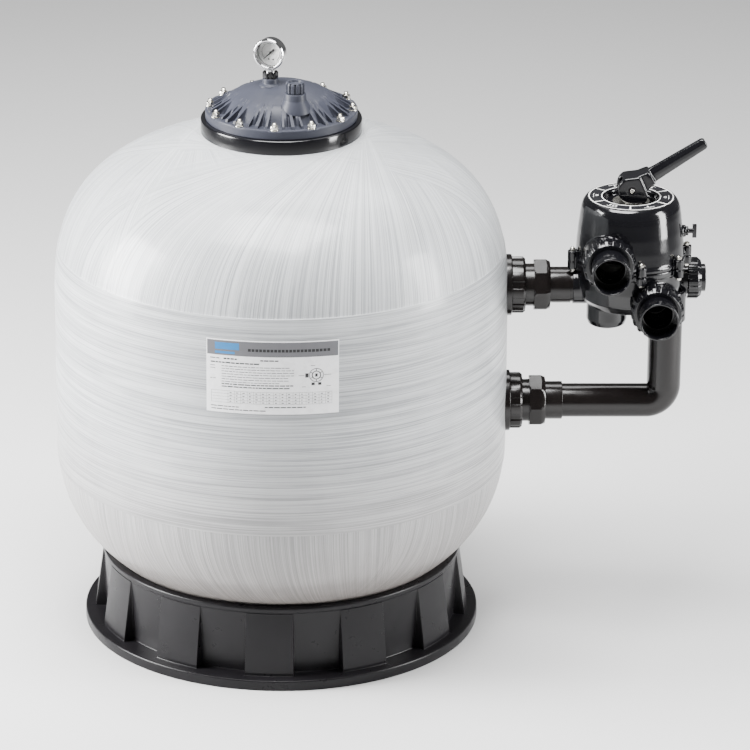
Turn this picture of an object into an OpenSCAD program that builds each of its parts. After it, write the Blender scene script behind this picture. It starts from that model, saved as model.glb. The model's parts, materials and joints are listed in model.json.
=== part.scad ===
// Side-mount sand filter tank with a six-way lever valve.
// The origin is on the tank axis at the floor, +Z up, the tank ports face +X and the valve ports face -Y.

/* [Tank] */
// Outer radius of the wound band
tank_r = 420; // [400:1:440]
// Wall thickness of the shell
wall = 8; // [6:0.5:9]
// Height where the lower dome meets the band
band_low = 361; // [350:1:365]
// Height where the upper dome starts
band_high = 637; // [630:1:645]
// Rise of the upper dome above the band if it ran to the axis
crown_rise = 308; // [300:1:312]
// Drop of the lower dome below the band
dish_drop = 301; // [295:1:305]
// Radius of the neck opening
neck_open_r = 124; // [123:0.5:125]

/* [Base] */
// Outer radius of the foot flange
foot_r = 371; // [365:1:380]
// Height of the skirt
base_h = 150; // [145:1:155]
// Number of raised panels around the skirt
panels = 12; // [8:1:14]

/* [Lid] */
// Outer radius of the black neck ring
neck_r = 147; // [146:0.5:150]
// Outer radius of the lid flange
lid_r = 139.5; // [138:0.5:142]
// Height of the top of the neck ring, where the lid seals
seal_z = 986; // [984:1:988]
// Thickness of the lid flange
lid_flange_h = 16; // [14:1:18]
// Height of the top of the lid dome
lid_top_z = 1053; // [1050:1:1056]
// Number of lid bolts
lid_bolts = 12; // [10:1:12]
// Radius of the lid bolt circle
lid_bolt_circle = 131; // [130:0.5:132]

/* [Gauge] */
// Outer radius of the gauge bezel
gauge_r = 29.5; // [28:0.5:30]
// Turn of the gauge face to the left of the front
gauge_turn = 20; // [0:1:40]
// Height of the gauge centre
gauge_z = 1110; // [1108:1:1112]

/* [Ports] */
// Height of the upper tank port
upper_z = 658; // [655:1:660]
// Height of the lower tank port
lower_z = 428; // [425:1:430]
// Outer radius of the 63 mm link pipe
pipe_r = 31.5; // [31:0.1:32]
// Radius of the glue sockets that take a 63 mm pipe
socket_r = 31.6; // [31.5:0.05:31.8]
// Depth of those glue sockets
socket_len = 40; // [36:1:42]

/* [Valve] */
// Distance of the valve axis from the tank axis
valve_x = 645; // [643:1:647]
// Height of the joint between the valve body and its cover
joint_z = 712; // [711:1:713]
// Height of the top of the valve cover
cover_top = 831; // [830:1:832]
// Height of the handle pin
pin_z = 850; // [849:0.5:851]
// Lift of the rotor when the handle is pressed down
rotor_lift = 6; // [4:0.5:6]
// Slope of the handle at rest
handle_slope = 33; // [30:1:36]
// Length of the handle from its pin
handle_len = 160; // [150:1:165]

/* [Hidden] */
$fn = 96;
tiny = 0.01;
// Colours of the main materials
shell_white = [0.86, 0.87, 0.86];
lid_grey = [0.43, 0.44, 0.48];
gloss_black = [0.06, 0.06, 0.07];
pipe_black = [0.10, 0.09, 0.09];
steel = [0.75, 0.75, 0.74];
rubber = [0.05, 0.05, 0.05];
pipe_grey = [0.55, 0.56, 0.58];

// ---------- general shapes ----------
// Each profile list holds [radius, height] points.
module turned(points, angle = 360) rotate_extrude(angle = angle) polygon(points);
module tube(r_out, r_in, h) turned([[r_in, 0], [r_out, 0], [r_out, h], [r_in, h]]);
module ring(r_major, r_minor) rotate_extrude() translate([r_major, 0]) circle(r = r_minor);
// Children drawn along +Z are laid along +X from x, or along -Y from y.
module along_x(x, z, y = 0) translate([x, y, z]) rotate([0, 90, 0]) children();
module to_front(x, y, z) translate([x, y, z]) rotate([90, 0, 0]) children();
module to_back(x, y, z) translate([x, y, z]) rotate([-90, 0, 0]) children();
module round_about(n, radius, first = 0) {
    for (i = [0 : n - 1]) rotate(first + 360 / n * i) translate([radius, 0, 0]) children();
}
function lerp(a, b, t) = a + (b - a) * t;

// ---------- tank outline ----------
crown_power = 2.87;
dish_power = 2.24;
crown_join_r = 255;
neck_bed = [146, 960];
dome_steps = 22;
dish_steps = 18;
// Height of the crown at radius r, for a shell that is shrunk inwards by s
function crown_z(r, s = 0) =
    band_high + (crown_rise - s) * pow(1 - pow(r / (tank_r - s), crown_power), 1 / crown_power);
function crown_r(i, s) = (tank_r - s) * pow(cos(crown_angle(i, s)), 2 / crown_power);
// Angle of the crown's joint with the straight neck cone
function join_angle(s) = acos(pow((crown_join_r - s) / (tank_r - s), crown_power / 2));
function crown_angle(i, s) = join_angle(s) * pow(i / dome_steps, 1.4);
function crown_pt(i, s = 0) = [
    crown_r(i, s),
    band_high + (crown_rise - s) * pow(sin(crown_angle(i, s)), 2 / crown_power)
];
function dish_angle(i) = 90 * pow(i / dish_steps, 1.2);
function dish_pt(i, s = 0) = [
    (tank_r - s) * pow(cos(dish_angle(i)), 2 / dish_power),
    band_low - (dish_drop - s) * pow(sin(dish_angle(i)), 2 / dish_power)
];
neck_slope = (neck_bed[1] - crown_z(crown_join_r)) / (crown_join_r - neck_bed[0]);
// Height of the straight neck cone's outer face at radius r
function neck_z(r) = neck_bed[1] + (neck_bed[0] - r) * neck_slope;
shell_out = concat(
    [for (i = [dish_steps : -1 : 0]) [i == dish_steps ? 0 : dish_pt(i)[0], dish_pt(i)[1]]],
    [for (i = [0 : dome_steps]) crown_pt(i)],
    [[neck_open_r, neck_z(neck_open_r)]]
);
shell_in = concat(
    [[neck_open_r, neck_z(neck_open_r) - wall]],
    [for (i = [dome_steps : -1 : 0]) crown_pt(i, wall)],
    [for (i = [0 : dish_steps]) [i == dish_steps ? 0 : dish_pt(i, wall)[0], dish_pt(i, wall)[1]]]
);

// The straight band and the lowest part of the crown, the wall that the ports pass through
band_steps = 7;
wall_top = crown_pt(band_steps)[1];
function shell_band(s) = concat([[tank_r - s, 300]], [for (i = [0 : band_steps - 1]) crown_pt(i, s)],
    [[crown_pt(band_steps, s)[0], wall_top]]);

// ---------- port and drain sizes ----------
bulkhead_r = 39.5;
bulkhead_bore = 27;
port_hole_r = bulkhead_r;
drain_z = 225;
drain_r = 22;
drain_y = 351;

module tank_shell() {
    color(shell_white) difference() {
        turned(concat(shell_out, shell_in));
        along_x(tank_r / 2, upper_z) cylinder(r = port_hole_r, h = tank_r);
        along_x(tank_r / 2, lower_z) cylinder(r = port_hole_r, h = tank_r);
        to_back(0, tank_r / 2, drain_z) cylinder(r = drain_r, h = tank_r);
    }
}

// ---------- base ----------
flange_h = 20;
skirt_foot_r = 331;
rim_r = 335;
skirt_wall = 7;
raise = 19;
seat_i = 10;
seat_low = dish_pt(seat_i);
seat_t = (base_h - seat_low[1]) / (dish_pt(seat_i - 1)[1] - seat_low[1]);
seat_high = lerp(seat_low, dish_pt(seat_i - 1), seat_t);
panel_top = base_h - 12;
panel_first = -101.25;
panel_turn = 180 / panels;

module base_skirt() {
    inner = rim_r - skirt_wall;
    color(gloss_black) union() {
        difference() {
            union() {
                turned([[0, 0], [foot_r, 0], [foot_r, flange_h - 3], [foot_r - 3, flange_h],
                    [skirt_foot_r, flange_h], [rim_r, panel_top], [rim_r + 2, base_h - 8],
                    [rim_r + 2, base_h - 2], [rim_r, base_h], seat_high, seat_low,
                    [seat_low[0], seat_low[1] - 1], [0, seat_low[1] - 1]]);
                for (i = [0 : panels - 1]) rotate(panel_first + 2 * panel_turn * i)
                    turned([[inner, flange_h - 1], [skirt_foot_r + raise, flange_h - 1],
                        [skirt_foot_r + raise, flange_h + 6], [rim_r + 1, panel_top],
                        [inner, panel_top]], panel_turn);
            }
            turned([[0, 6], [skirt_foot_r - skirt_wall, 6], [inner, seat_low[1] - 14],
                [seat_low[0], seat_low[1] - 8], [seat_low[0], base_h], [0, base_h]]);
        }
    }
}

module name_label() {
    label_h = 139;
    label_z = 565;
    label_angle = 32.6;
    color("white") translate([0, 0, label_z]) rotate(-108.5)
        turned([[tank_r, 0], [tank_r + 0.7, 0], [tank_r + 0.7, label_h], [tank_r, label_h]], label_angle);
}

// ---------- neck and lid ----------
stud_r = 4;
stud_clear = 0.25;
stud_depth = 15;
lid_phase = -95.5;
lid_bore_r = 112;
groove_in = 117.5;
o_ring_r = 3.5;
flange_top = seal_z + lid_flange_h;
dome_edge_r = 110;
dome_edge_z = flange_top + 14;
lid_wall = 7;
rib_top_r = 82;
rib_end_r = 134;
big_rib_w = 6;
small_rib_w = 3.5;
small_rib_turn = 7;
function lid_z(r) = lid_top_z - (lid_top_z - dome_edge_z) * pow(r / dome_edge_r, 2);
gauge_xy = [-20, -8];
gauge_boss_r = 14.5;
gauge_boss_z = 1063;
gauge_thread_r = 8;
bleed_xy = [25, -72];
bleed_boss_r = 20;
bleed_boss_z = 1055;
bleed_screw_r = 9;
bleed_drop = 22;

module neck_flange() {
    spigot_z = seal_z - 62;
    color(gloss_black) difference() {
        turned([[lid_bore_r, spigot_z], [neck_open_r, spigot_z], [neck_open_r, neck_z(neck_open_r)],
            [neck_r, neck_z(neck_r)], [neck_r + 1, neck_z(neck_r) + 2], [neck_r + 1, seal_z - 3],
            [neck_r - 2, seal_z], [lid_bore_r, seal_z]]);
        translate([0, 0, seal_z - 2 * o_ring_r]) tube(groove_in + 2 * o_ring_r, groove_in, 20);
        round_about(lid_bolts, lid_bolt_circle, lid_phase)
            translate([0, 0, seal_z - stud_depth]) cylinder(r = stud_r, h = 30);
    }
}

module lid_o_ring() {
    color(rubber) translate([0, 0, seal_z - o_ring_r]) ring(groove_in + o_ring_r, o_ring_r);
}

module lid_rib(width, top_r, end_r) {
    // A flat gusset from the dome down to the flange, drawn along +X
    translate([0, width / 2, 0]) rotate([90, 0, 0]) linear_extrude(width)
        polygon([[top_r, flange_top - 1], [end_r, flange_top - 1], [end_r, flange_top + 2],
            [dome_edge_r + 4, lid_z(dome_edge_r) - 3], [top_r, lid_z(top_r) - 1]]);
}

module lid() {
    arc = [0, 25, 50, 75, 95, dome_edge_r];
    color(lid_grey) difference() {
        union() {
            turned(concat([for (r = arc) [r, lid_z(r)]],
                [[dome_edge_r + 3, dome_edge_z - 3], [dome_edge_r + 4, flange_top],
                [lid_r - 1.5, flange_top], [lid_r, flange_top - 1.5], [lid_r, seal_z + 1],
                [lid_r - 1, seal_z], [0, seal_z]]));
            round_about(lid_bolts, 0, lid_phase + 180 / lid_bolts)
                lid_rib(big_rib_w, rib_top_r, rib_end_r);
            for (side = [-1, 1]) round_about(lid_bolts, 0, lid_phase + side * small_rib_turn)
                lid_rib(small_rib_w, rib_top_r + 15, rib_end_r - 6);
            translate([gauge_xy[0], gauge_xy[1], flange_top])
                cylinder(r = gauge_boss_r, h = gauge_boss_z - flange_top);
            translate([bleed_xy[0], bleed_xy[1], flange_top])
                cylinder(r = bleed_boss_r, h = bleed_boss_z - flange_top);
        }
        difference() {
            turned(concat([for (r = arc) [r * 0.94, lid_z(r) - lid_wall]],
                [[dome_edge_r * 0.94, seal_z - 1], [0, seal_z - 1]]));
            translate([bleed_xy[0], bleed_xy[1], flange_top])
                cylinder(r = bleed_screw_r + 5, h = 60);
            translate([gauge_xy[0], gauge_xy[1], flange_top + 30])
                cylinder(r = gauge_thread_r + 5, h = 60);
        }
        round_about(lid_bolts, lid_bolt_circle, lid_phase)
            translate([0, 0, seal_z - 1]) cylinder(r = stud_r + stud_clear, h = lid_flange_h + 20);
        round_about(lid_bolts, lid_bolt_circle, lid_phase)
            translate([0, 0, flange_top]) cylinder(r = 8.6, h = 30);
        translate([gauge_xy[0], gauge_xy[1], seal_z]) cylinder(r = gauge_thread_r, h = 100);
        translate([bleed_xy[0], bleed_xy[1], seal_z])
            cylinder(r = bleed_screw_r + 0.05, h = 100);
    }
}

washer_h = 1.6;
nut_h = 6.5;
module lid_studs() {
    color(steel) round_about(lid_bolts, lid_bolt_circle, lid_phase)
        translate([0, 0, seal_z - stud_depth]) union() {
            cylinder(r = stud_r, h = stud_depth + lid_flange_h + 13);
            translate([0, 0, stud_depth + lid_flange_h + 13]) cylinder(r1 = stud_r, r2 = stud_r - 1, h = 1);
        }
}
module lid_washers() {
    color(steel) round_about(lid_bolts, lid_bolt_circle, lid_phase)
        translate([0, 0, flange_top]) tube(8.2, stud_r, washer_h);
}
module lid_nuts() {
    color(steel) round_about(lid_bolts, lid_bolt_circle, lid_phase)
        translate([0, 0, flange_top + washer_h]) difference() {
            cylinder(r = 7.5, h = nut_h, $fn = 6);
            translate([0, 0, -1]) cylinder(r = stud_r, h = nut_h + 2);
        }
}

// ---------- bleed screw ----------
module bleed_knob() {
    grips = 12;
    color(lid_grey) translate([bleed_xy[0], bleed_xy[1], bleed_boss_z + 0.3]) union() {
        difference() {
            union() {
                turned([[0, 0], [16, 0], [16, 18], [14.5, 20], [0, 20]]);
                round_about(grips, 16) translate([-1.5, -1.8, 0]) cube([2.8, 3.6, 17]);
            }
            translate([0, 0, 16]) cylinder(r = 11, h = 10);
        }
        difference() {
            translate([0, 0, -bleed_drop]) cylinder(r = bleed_screw_r, h = bleed_drop + tiny);
            translate([0, 0, -bleed_drop + 5]) tube(bleed_screw_r + 1, bleed_screw_r - 3, 3);
        }
    }
}
module bleed_o_ring() {
    color(rubber) translate([bleed_xy[0], bleed_xy[1], bleed_boss_z + 0.3 - bleed_drop + 6.5])
        ring(bleed_screw_r - 1.5, 1.5);
}

// ---------- pressure gauge ----------
stem_r = 6;
stem_collar_h = 5;
case_r = 27.5;
case_back = -13;
case_front = 9;
dial_r = 25;
stem_top = gauge_z - dial_r - 0.2;
// Gauge parts are drawn with the face towards +Z and the top towards +Y
module gauge_frame() {
    translate([gauge_xy[0], gauge_xy[1], gauge_z]) rotate(-gauge_turn) rotate([90, 0, 0]) children();
}
module gauge_adapter() {
    color(rubber) translate([gauge_xy[0], gauge_xy[1], gauge_boss_z]) difference() {
        union() {
            cylinder(r = 14.5, h = 12, $fn = 6);
            translate([0, 0, -16]) cylinder(r = gauge_thread_r, h = 16 + tiny);
        }
        translate([0, 0, -20]) cylinder(r = stem_r, h = 40);
    }
}
module gauge_stem() {
    color(steel) translate([gauge_xy[0], gauge_xy[1], gauge_boss_z]) difference() {
        union() {
            translate([0, 0, -10]) cylinder(r = stem_r, h = stem_top - gauge_boss_z + 10);
            translate([0, 0, 12]) cylinder(r = 9, h = stem_collar_h);
        }
        translate([0, 0, -11]) cylinder(r = 2, h = 40);
    }
}
module gauge_case() {
    color(steel) difference() {
        gauge_frame() translate([0, 0, case_back]) difference() {
            turned([[0, 0], [case_r - 2, 0], [case_r, 2], [case_r, case_front - case_back],
                [0, case_front - case_back]]);
            translate([0, 0, 2]) cylinder(r = case_r - 2, h = 40);
        }
        translate([gauge_xy[0], gauge_xy[1], gauge_boss_z]) cylinder(r = stem_r, h = 40);
        translate([gauge_xy[0], gauge_xy[1], gauge_boss_z + 12]) cylinder(r = 9, h = stem_collar_h);
    }
}
module gauge_bourdon_tube() {
    color("goldenrod") gauge_frame() translate([0, 0, -9]) union() {
        rotate(-90) rotate_extrude(angle = 270) translate([14, 0]) circle(r = 2, $fn = 24);
        translate([-4, -dial_r + 0.1, -1.9]) cube([8, dial_r - 11, 6]);
    }
}
module gauge_dial() {
    color("white") gauge_frame() translate([0, 0, -4]) tube(dial_r, 1.6, 1);
}
needle_rest = 225;
module gauge_needle() {
    color(rubber) gauge_frame() union() {
        rotate(needle_rest) translate([0, 0, -1.5]) linear_extrude(0.8)
            polygon([[-9, -1.6], [-9, 1.6], [0, 0.9], [19, 0.3], [19, -0.3], [0, -0.9]]);
        translate([0, 0, -1.5]) cylinder(r = 2.4, h = 2);
        translate([0, 0, -6]) cylinder(r = 1.5, h = 5);
    }
}
module gauge_lens() {
    color([0.85, 0.9, 0.92, 0.35]) gauge_frame() translate([0, 0, case_front])
        cylinder(r = gauge_r - 3.5, h = 2);
}
module gauge_bezel() {
    color(steel) gauge_frame() turned([[case_r, case_front - 2.5], [gauge_r - 0.5, case_front - 2.5],
        [gauge_r, case_front - 2], [gauge_r, case_front + 2.5], [gauge_r - 2, case_front + 4.5],
        [gauge_r - 4.5, case_front + 4], [gauge_r - 6, case_front + 2], [gauge_r - 3.5, case_front + 2],
        [gauge_r - 3.5, case_front], [case_r, case_front]]);
}

// ---------- tank ports ----------
gasket_t = 3;
inside_r = tank_r - wall;
flange_in_r = 54;
nose_x = 480;
module port_disc(r_disc, r_near, r_far, z) {
    // The part of a disc on a port axis that lies between two tank radii
    intersection() {
        along_x(tank_r / 2, z) tube(r_disc, bulkhead_r, tank_r / 2 + 60);
        difference() {
            translate([0, 0, z - r_disc]) cylinder(r = r_far, h = 2 * r_disc, $fn = 200);
            translate([0, 0, z - r_disc - 1]) cylinder(r = r_near, h = 2 * r_disc + 2, $fn = 200);
        }
    }
}
module bulkhead(z, nose) {
    color(pipe_black) difference() {
        union() {
            port_disc(flange_in_r, inside_r - gasket_t - 8, inside_r - gasket_t, z);
            along_x(inside_r - 52, z) cylinder(r = bulkhead_r, h = nose - inside_r + 52);
        }
        along_x(inside_r - 60, z) cylinder(r = bulkhead_bore, h = 300);
    }
}
module upper_bulkhead() bulkhead(upper_z, nose_x + 4);
module lower_bulkhead() bulkhead(lower_z, nose_x);
module port_gaskets() {
    // The crown already leans in a little at the upper port, so the gaskets end at the real wall
    color(rubber) for (z = [upper_z, lower_z]) intersection() {
        port_disc(flange_in_r, inside_r - gasket_t, inside_r + 2, z);
        turned(concat([[0, 300]], shell_band(wall), [[0, wall_top]]), $fn = 400);
    }
}
saddle_x = 427;
module port_saddles() {
    color(pipe_black) for (z = [upper_z, lower_z]) difference() {
        along_x(tank_r - 12, z) tube(57, bulkhead_r, saddle_x - tank_r + 12);
        turned(concat([[0, 300]], shell_band(0), [[0, wall_top]]), $fn = 400);
    }
}
module locknut(x_end, z) {
    lugs = 10;
    color(pipe_black) along_x(saddle_x, z) difference() {
        union() {
            turned([[0, 0], [51.5, 0], [51.5, x_end - saddle_x - 3], [48.5, x_end - saddle_x],
                [0, x_end - saddle_x]]);
            round_about(lugs, 49, 9) translate([0, -5, 0]) cube([4.5, 10, x_end - saddle_x - 5]);
        }
        translate([0, 0, -1]) cylinder(r = bulkhead_r, h = 60);
    }
}
module upper_locknut() locknut(452, upper_z);
module lower_locknut() locknut(450, lower_z);

// ---------- unions ----------
// An O-ring lies in a groove in each tail's face
ring_minor = 2;
tank_seal_r = 33;
port_seal_r = 34;
waste_seal_r = 27;
module seal_groove(radius) translate([0, 0, -1])
    tube(radius + ring_minor, radius - ring_minor, 1 + 2 * ring_minor);
nut_r = 49;
nut_len = 30;
collar_r = 38.5;
collar_t = 6;
// A union nut from its open end to its lip: clears a spigot, then holds a collar
module union_nut_body(spigot_r, spigot_h, lip_r, sides) {
    color(pipe_black) difference() {
        intersection() {
            cylinder(r = nut_r + 1, h = nut_len, $fn = sides);
            turned([[0, 0], [nut_r + 2, 0], [nut_r + 2, nut_len - 8], [nut_r - 6, nut_len],
                [0, nut_len]]);
        }
        translate([0, 0, -1]) cylinder(r = spigot_r, h = spigot_h + collar_t + 1);
        cylinder(r = lip_r, h = nut_len + 10);
    }
}
upper_nut_x = 468;
lower_nut_x = 463;
upper_tail_r = 33.5;
lower_tail_r = 35.5;
stub_x = 540;
module upper_union_nut() along_x(upper_nut_x, upper_z)
    union_nut_body(bulkhead_r, nose_x + 4 - upper_nut_x, upper_tail_r, 8);
module lower_union_nut() along_x(lower_nut_x, lower_z)
    union_nut_body(bulkhead_r, nose_x - lower_nut_x, lower_tail_r, 8);
module upper_union_tail() {
    start = nose_x + 4;
    color(pipe_black) along_x(start, upper_z) difference() {
        turned([[0, 0], [collar_r, 0], [collar_r, collar_t], [upper_tail_r, collar_t],
            [upper_tail_r, stub_x - 4 - start], [pipe_r, stub_x - 4 - start],
            [pipe_r, stub_x + 20 - start], [0, stub_x + 20 - start]]);
        translate([0, 0, -1]) cylinder(r = bulkhead_bore, h = 200);
        seal_groove(tank_seal_r);
    }
}
lower_socket_x = 492;
lower_tail_end = 525;
module lower_union_tail() {
    color(pipe_black) along_x(nose_x, lower_z) difference() {
        turned([[0, 0], [collar_r, 0], [collar_r, collar_t], [lower_tail_r, collar_t],
            [lower_tail_r, lower_tail_end - nose_x], [0, lower_tail_end - nose_x]]);
        translate([0, 0, -1]) cylinder(r = bulkhead_bore, h = 200);
        translate([0, 0, lower_socket_x - nose_x]) cylinder(r = pipe_r, h = 200);
        seal_groove(tank_seal_r);
    }
}

// Link pipe between the lower union and the underside of the valve
link_x = 715;
bend_r = 33;
link_top = 628;
module link_pipe() {
    bore = bulkhead_bore;
    color(pipe_black) union() {
        along_x(lower_socket_x, lower_z) tube(pipe_r, bore, link_x - bend_r - lower_socket_x);
        translate([link_x - bend_r, 0, lower_z + bend_r]) rotate([90, 0, 0]) rotate(-90)
            rotate_extrude(angle = 90) translate([bend_r, 0]) difference() {
                circle(r = pipe_r);
                circle(r = bore);
            }
        translate([link_x, 0, lower_z + bend_r]) tube(pipe_r, bore, link_top - lower_z - bend_r);
    }
}

// ---------- valve ----------
pump_x = 600;
pump_z = 739;
return_x = 690;
return_z = 648;
waste_y = 55;
waste_z = 652;
waste_x = 757;
port_spigot_r = 42.5;
port_nose_y = -121;
port_nut_y = -102;
port_nut_len = 32;
tail_r = 36;
tail_end_y = [-185, -175];
port_bore = 26;
body_r = 98;
chamber_r = 92;
cover_flange_r = 103;
cover_flange_h = 10;
lug_circle = 108;
lug_r = 9;
lug_first = -82;
lugs = [1, 2, 3, 4, 5, 6, 0];
lug_step = 45;
lug_low = 696;
lug_high = 731;
tower_x = 605;
tower_r = 37.5;
tower_low = 580;
dish_r = 50;
dish_z = 819;
stem_shaft_r = 11;
stem_bore_r = 11.05;
boss_low = 778;
gasket_z = 706;
gasket_h = 3;
rotor_z = gasket_z + gasket_h + 0.2;
rotor_h = 16;
module at_valve() translate([valve_x, 0, 0]) children();
module on_lugs() at_valve() for (k = lugs) rotate(lug_first + lug_step * k)
    translate([lug_circle, 0, 0]) children();
module pump_nut_space() to_front(pump_x, port_nut_y + 1, pump_z) cylinder(r = nut_r + 2.5, h = 50);

module valve_body() {
    bowl = [[0, 612], [50, 615], [75, 625], [92, 643], [body_r, 668], [body_r, joint_z], [0, joint_z]];
    chamber = [[0, 620], [48, 623], [70, 632], [86, 648], [chamber_r, 670], [chamber_r, joint_z + 1],
        [0, joint_z + 1]];
    color(gloss_black) difference() {
        union() {
            at_valve() turned(bowl);
            difference() {
                union() {
                    at_valve() translate([0, 0, joint_z - 12]) cylinder(r = cover_flange_r, h = 12);
                    on_lugs() translate([0, 0, lug_low]) cylinder(r = lug_r, h = joint_z - lug_low);
                }
                pump_nut_space();
            }
            translate([tower_x, 0, 0]) turned([[0, tower_low], [tower_r - 12, tower_low],
                [tower_r - 3, tower_low + 5], [tower_r, tower_low + 14], [tower_r, 690], [0, 690]]);
            along_x(stub_x, upper_z) cylinder(r = 35, h = tower_x - stub_x);
            to_front(return_x, -30, return_z) cylinder(r = port_spigot_r, h = -30 - port_nose_y);
            along_x(690, waste_z, waste_y) cylinder(r = 31, h = waste_x + 12 - 690);
            translate([link_x, 0, 590]) cylinder(r = 37, h = 60);
        }
        at_valve() difference() {
            turned(chamber);
            // Walls between the six flow chambers, and their hub
            translate([0, 0, 600]) cylinder(r = 16, h = gasket_z - 600);
            for (k = [0 : 5]) rotate(60 * k + 30) translate([0, -2.5, 600]) cube([100, 5, gasket_z - 600]);
        }
        at_valve() translate([0, 0, joint_z - 4]) tube(100, 96, 10);
        translate([tower_x, 0, tower_low + 8]) cylinder(r = tower_r - 5.5, h = 40);
        along_x(stub_x - 1, upper_z) cylinder(r = pipe_r, h = 21);
        along_x(stub_x, upper_z) cylinder(r = bulkhead_bore, h = 50);
        to_front(return_x, -60, return_z) cylinder(r = port_bore, h = 80);
        along_x(700, waste_z, waste_y) cylinder(r = 24, h = 100);
        translate([link_x, 0, 580]) cylinder(r = pipe_r, h = link_top - 580);
        translate([link_x, 0, 600]) cylinder(r = bulkhead_bore, h = 60);
        on_lugs() translate([0, 0, lug_low - 1]) cylinder(r = 3.2, h = 40);
    }
}

module valve_gasket() {
    hub = 16;
    spoke = 5;
    color(rubber) at_valve() translate([0, 0, gasket_z]) difference() {
        cylinder(r = chamber_r - 0.5, h = gasket_h);
        difference() {
            translate([0, 0, -1]) tube(chamber_r - 6, hub, gasket_h + 2);
            for (k = [0 : 5]) rotate(60 * k + 30) translate([0, -spoke / 2, -2])
                cube([chamber_r, spoke, gasket_h + 4]);
        }
        translate([0, 0, -1]) cylinder(r = 5, h = gasket_h + 2);
    }
}
module valve_o_ring() {
    color(rubber) at_valve() translate([0, 0, joint_z - 2]) ring(98, 2);
}

module valve_cover() {
    skin = [[0, joint_z], [100.5, joint_z], [100.5, 722], [99, 748], [96.5, 775], [93, 803], [91, 815],
        [88.5, 822], [85, 827.5], [80.5, cover_top], [dish_r + 2, cover_top], [dish_r, cover_top - 2],
        [dish_r - 2, dish_z], [0, dish_z]];
    cavity = [[0, joint_z - 1], [94, joint_z - 1], [93, 748], [87, 803], [82, 818], [77, 824], [58, 824],
        [56, 811], [24, 811], [24, boss_low], [0, boss_low]];
    color(gloss_black) difference() {
        union() {
            at_valve() turned(skin);
            difference() {
                union() {
                    at_valve() translate([0, 0, joint_z])
                        turned([[0, 0], [cover_flange_r, 0], [cover_flange_r, cover_flange_h - 2],
                            [cover_flange_r - 2, cover_flange_h], [0, cover_flange_h]]);
                    on_lugs() translate([0, 0, joint_z]) cylinder(r = lug_r, h = lug_high - joint_z);
                }
                pump_nut_space();
            }
            difference() {
                to_front(pump_x, -40, pump_z) cylinder(r = port_spigot_r, h = -40 - port_nose_y);
                at_valve() translate([0, 0, joint_z - 60]) cylinder(r = cover_flange_r + 0.3, h = 60);
            }
            along_x(730, 764) cylinder(r = 11, h = 18);
        }
        at_valve() turned(cavity);
        to_front(pump_x, -60, pump_z) cylinder(r = port_bore, h = 80);
        at_valve() cylinder(r = stem_bore_r, h = 900);
        along_x(720, 764) cylinder(r = 5, h = 40);
        on_lugs() translate([0, 0, joint_z - 1]) cylinder(r = 3.2, h = 40);
    }
}

module cover_bolts() {
    color(steel) on_lugs() union() {
        translate([0, 0, lug_low - 4.5]) cylinder(r = 5.6, h = 4.5, $fn = 6);
        translate([0, 0, lug_low]) cylinder(r = 3, h = lug_high + 7 - lug_low);
    }
}
module cover_nuts() {
    color(steel) on_lugs() translate([0, 0, lug_high]) difference() {
        cylinder(r = 5.6, h = 5, $fn = 6);
        translate([0, 0, -1]) cylinder(r = 3, h = 10);
    }
}
module index_plate() {
    color(gloss_black) at_valve() translate([0, 0, cover_top]) tube(80.4, dish_r + 2.2, 0.8);
}
module gauge_port_plug() {
    color(gloss_black) union() {
        along_x(736, 764) cylinder(r = 5, h = 12 + tiny);
        along_x(748, 764) cylinder(r = 8.5, h = 4);
        along_x(752, 764) cylinder(r = 4.5, h = 9);
        translate([760, -2.5, 751]) cube([8, 5, 26]);
    }
}

// ---------- valve unions ----------
module ribbed_nut(radius, length, spigot_r, spigot_h, lip_r, grips) {
    color(gloss_black) difference() {
        union() {
            turned([[0, 0], [radius - 3, 0], [radius - 3, length - 6], [radius - 8, length], [0, length]]);
            round_about(grips, radius - 4) translate([0, -3, 0]) cube([4, 6, length - 9]);
        }
        translate([0, 0, -1]) cylinder(r = spigot_r, h = spigot_h + 1);
        cylinder(r = lip_r, h = length + 10);
    }
}
module port_tail(y_end) {
    // Drawn from the spigot's face outwards along +Z
    length = port_nose_y - y_end;
    color(gloss_black) difference() {
        turned([[0, 0], [40.5, 0], [40.5, collar_t], [tail_r - 1, collar_t], [tail_r - 1, length - 22],
            [tail_r, length - 18], [tail_r, length], [0, length]]);
        translate([0, 0, -1]) cylinder(r = bulkhead_bore, h = 200);
        translate([0, 0, length - socket_len]) cylinder(r = socket_r, h = 200);
        seal_groove(port_seal_r);
    }
}
module valve_nut(x, z) to_front(x, port_nut_y, z)
    ribbed_nut(nut_r, port_nut_len, port_spigot_r, port_nut_y - port_nose_y + collar_t, tail_r - 1, 20);
module pump_union_nut() valve_nut(pump_x, pump_z);
module return_union_nut() valve_nut(return_x, return_z);
module pump_union_tail() to_front(pump_x, port_nose_y, pump_z) port_tail(tail_end_y[0]);
module return_union_tail() to_front(return_x, port_nose_y, return_z) port_tail(tail_end_y[1]);
module waste_union_nut() along_x(waste_x, waste_z, waste_y)
    ribbed_nut(39, 26, 31, 18, 26, 16);
module waste_plug() {
    color(gloss_black) along_x(waste_x + 12, waste_z, waste_y) difference() {
        turned([[0, 0], [30, 0], [30, 6], [26, 6], [26, 21], [24.5, 22.5], [0, 22.5]]);
        seal_groove(waste_seal_r);
    }
}
module union_o_rings() {
    color(rubber) union() {
        along_x(nose_x + 4 + ring_minor, upper_z) ring(tank_seal_r, ring_minor);
        along_x(nose_x + ring_minor, lower_z) ring(tank_seal_r, ring_minor);
        to_front(pump_x, port_nose_y - ring_minor, pump_z) ring(port_seal_r, ring_minor);
        to_front(return_x, port_nose_y - ring_minor, return_z) ring(port_seal_r, ring_minor);
        along_x(waste_x + 12 + ring_minor, waste_z, waste_y) ring(waste_seal_r, ring_minor);
    }
}

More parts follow.
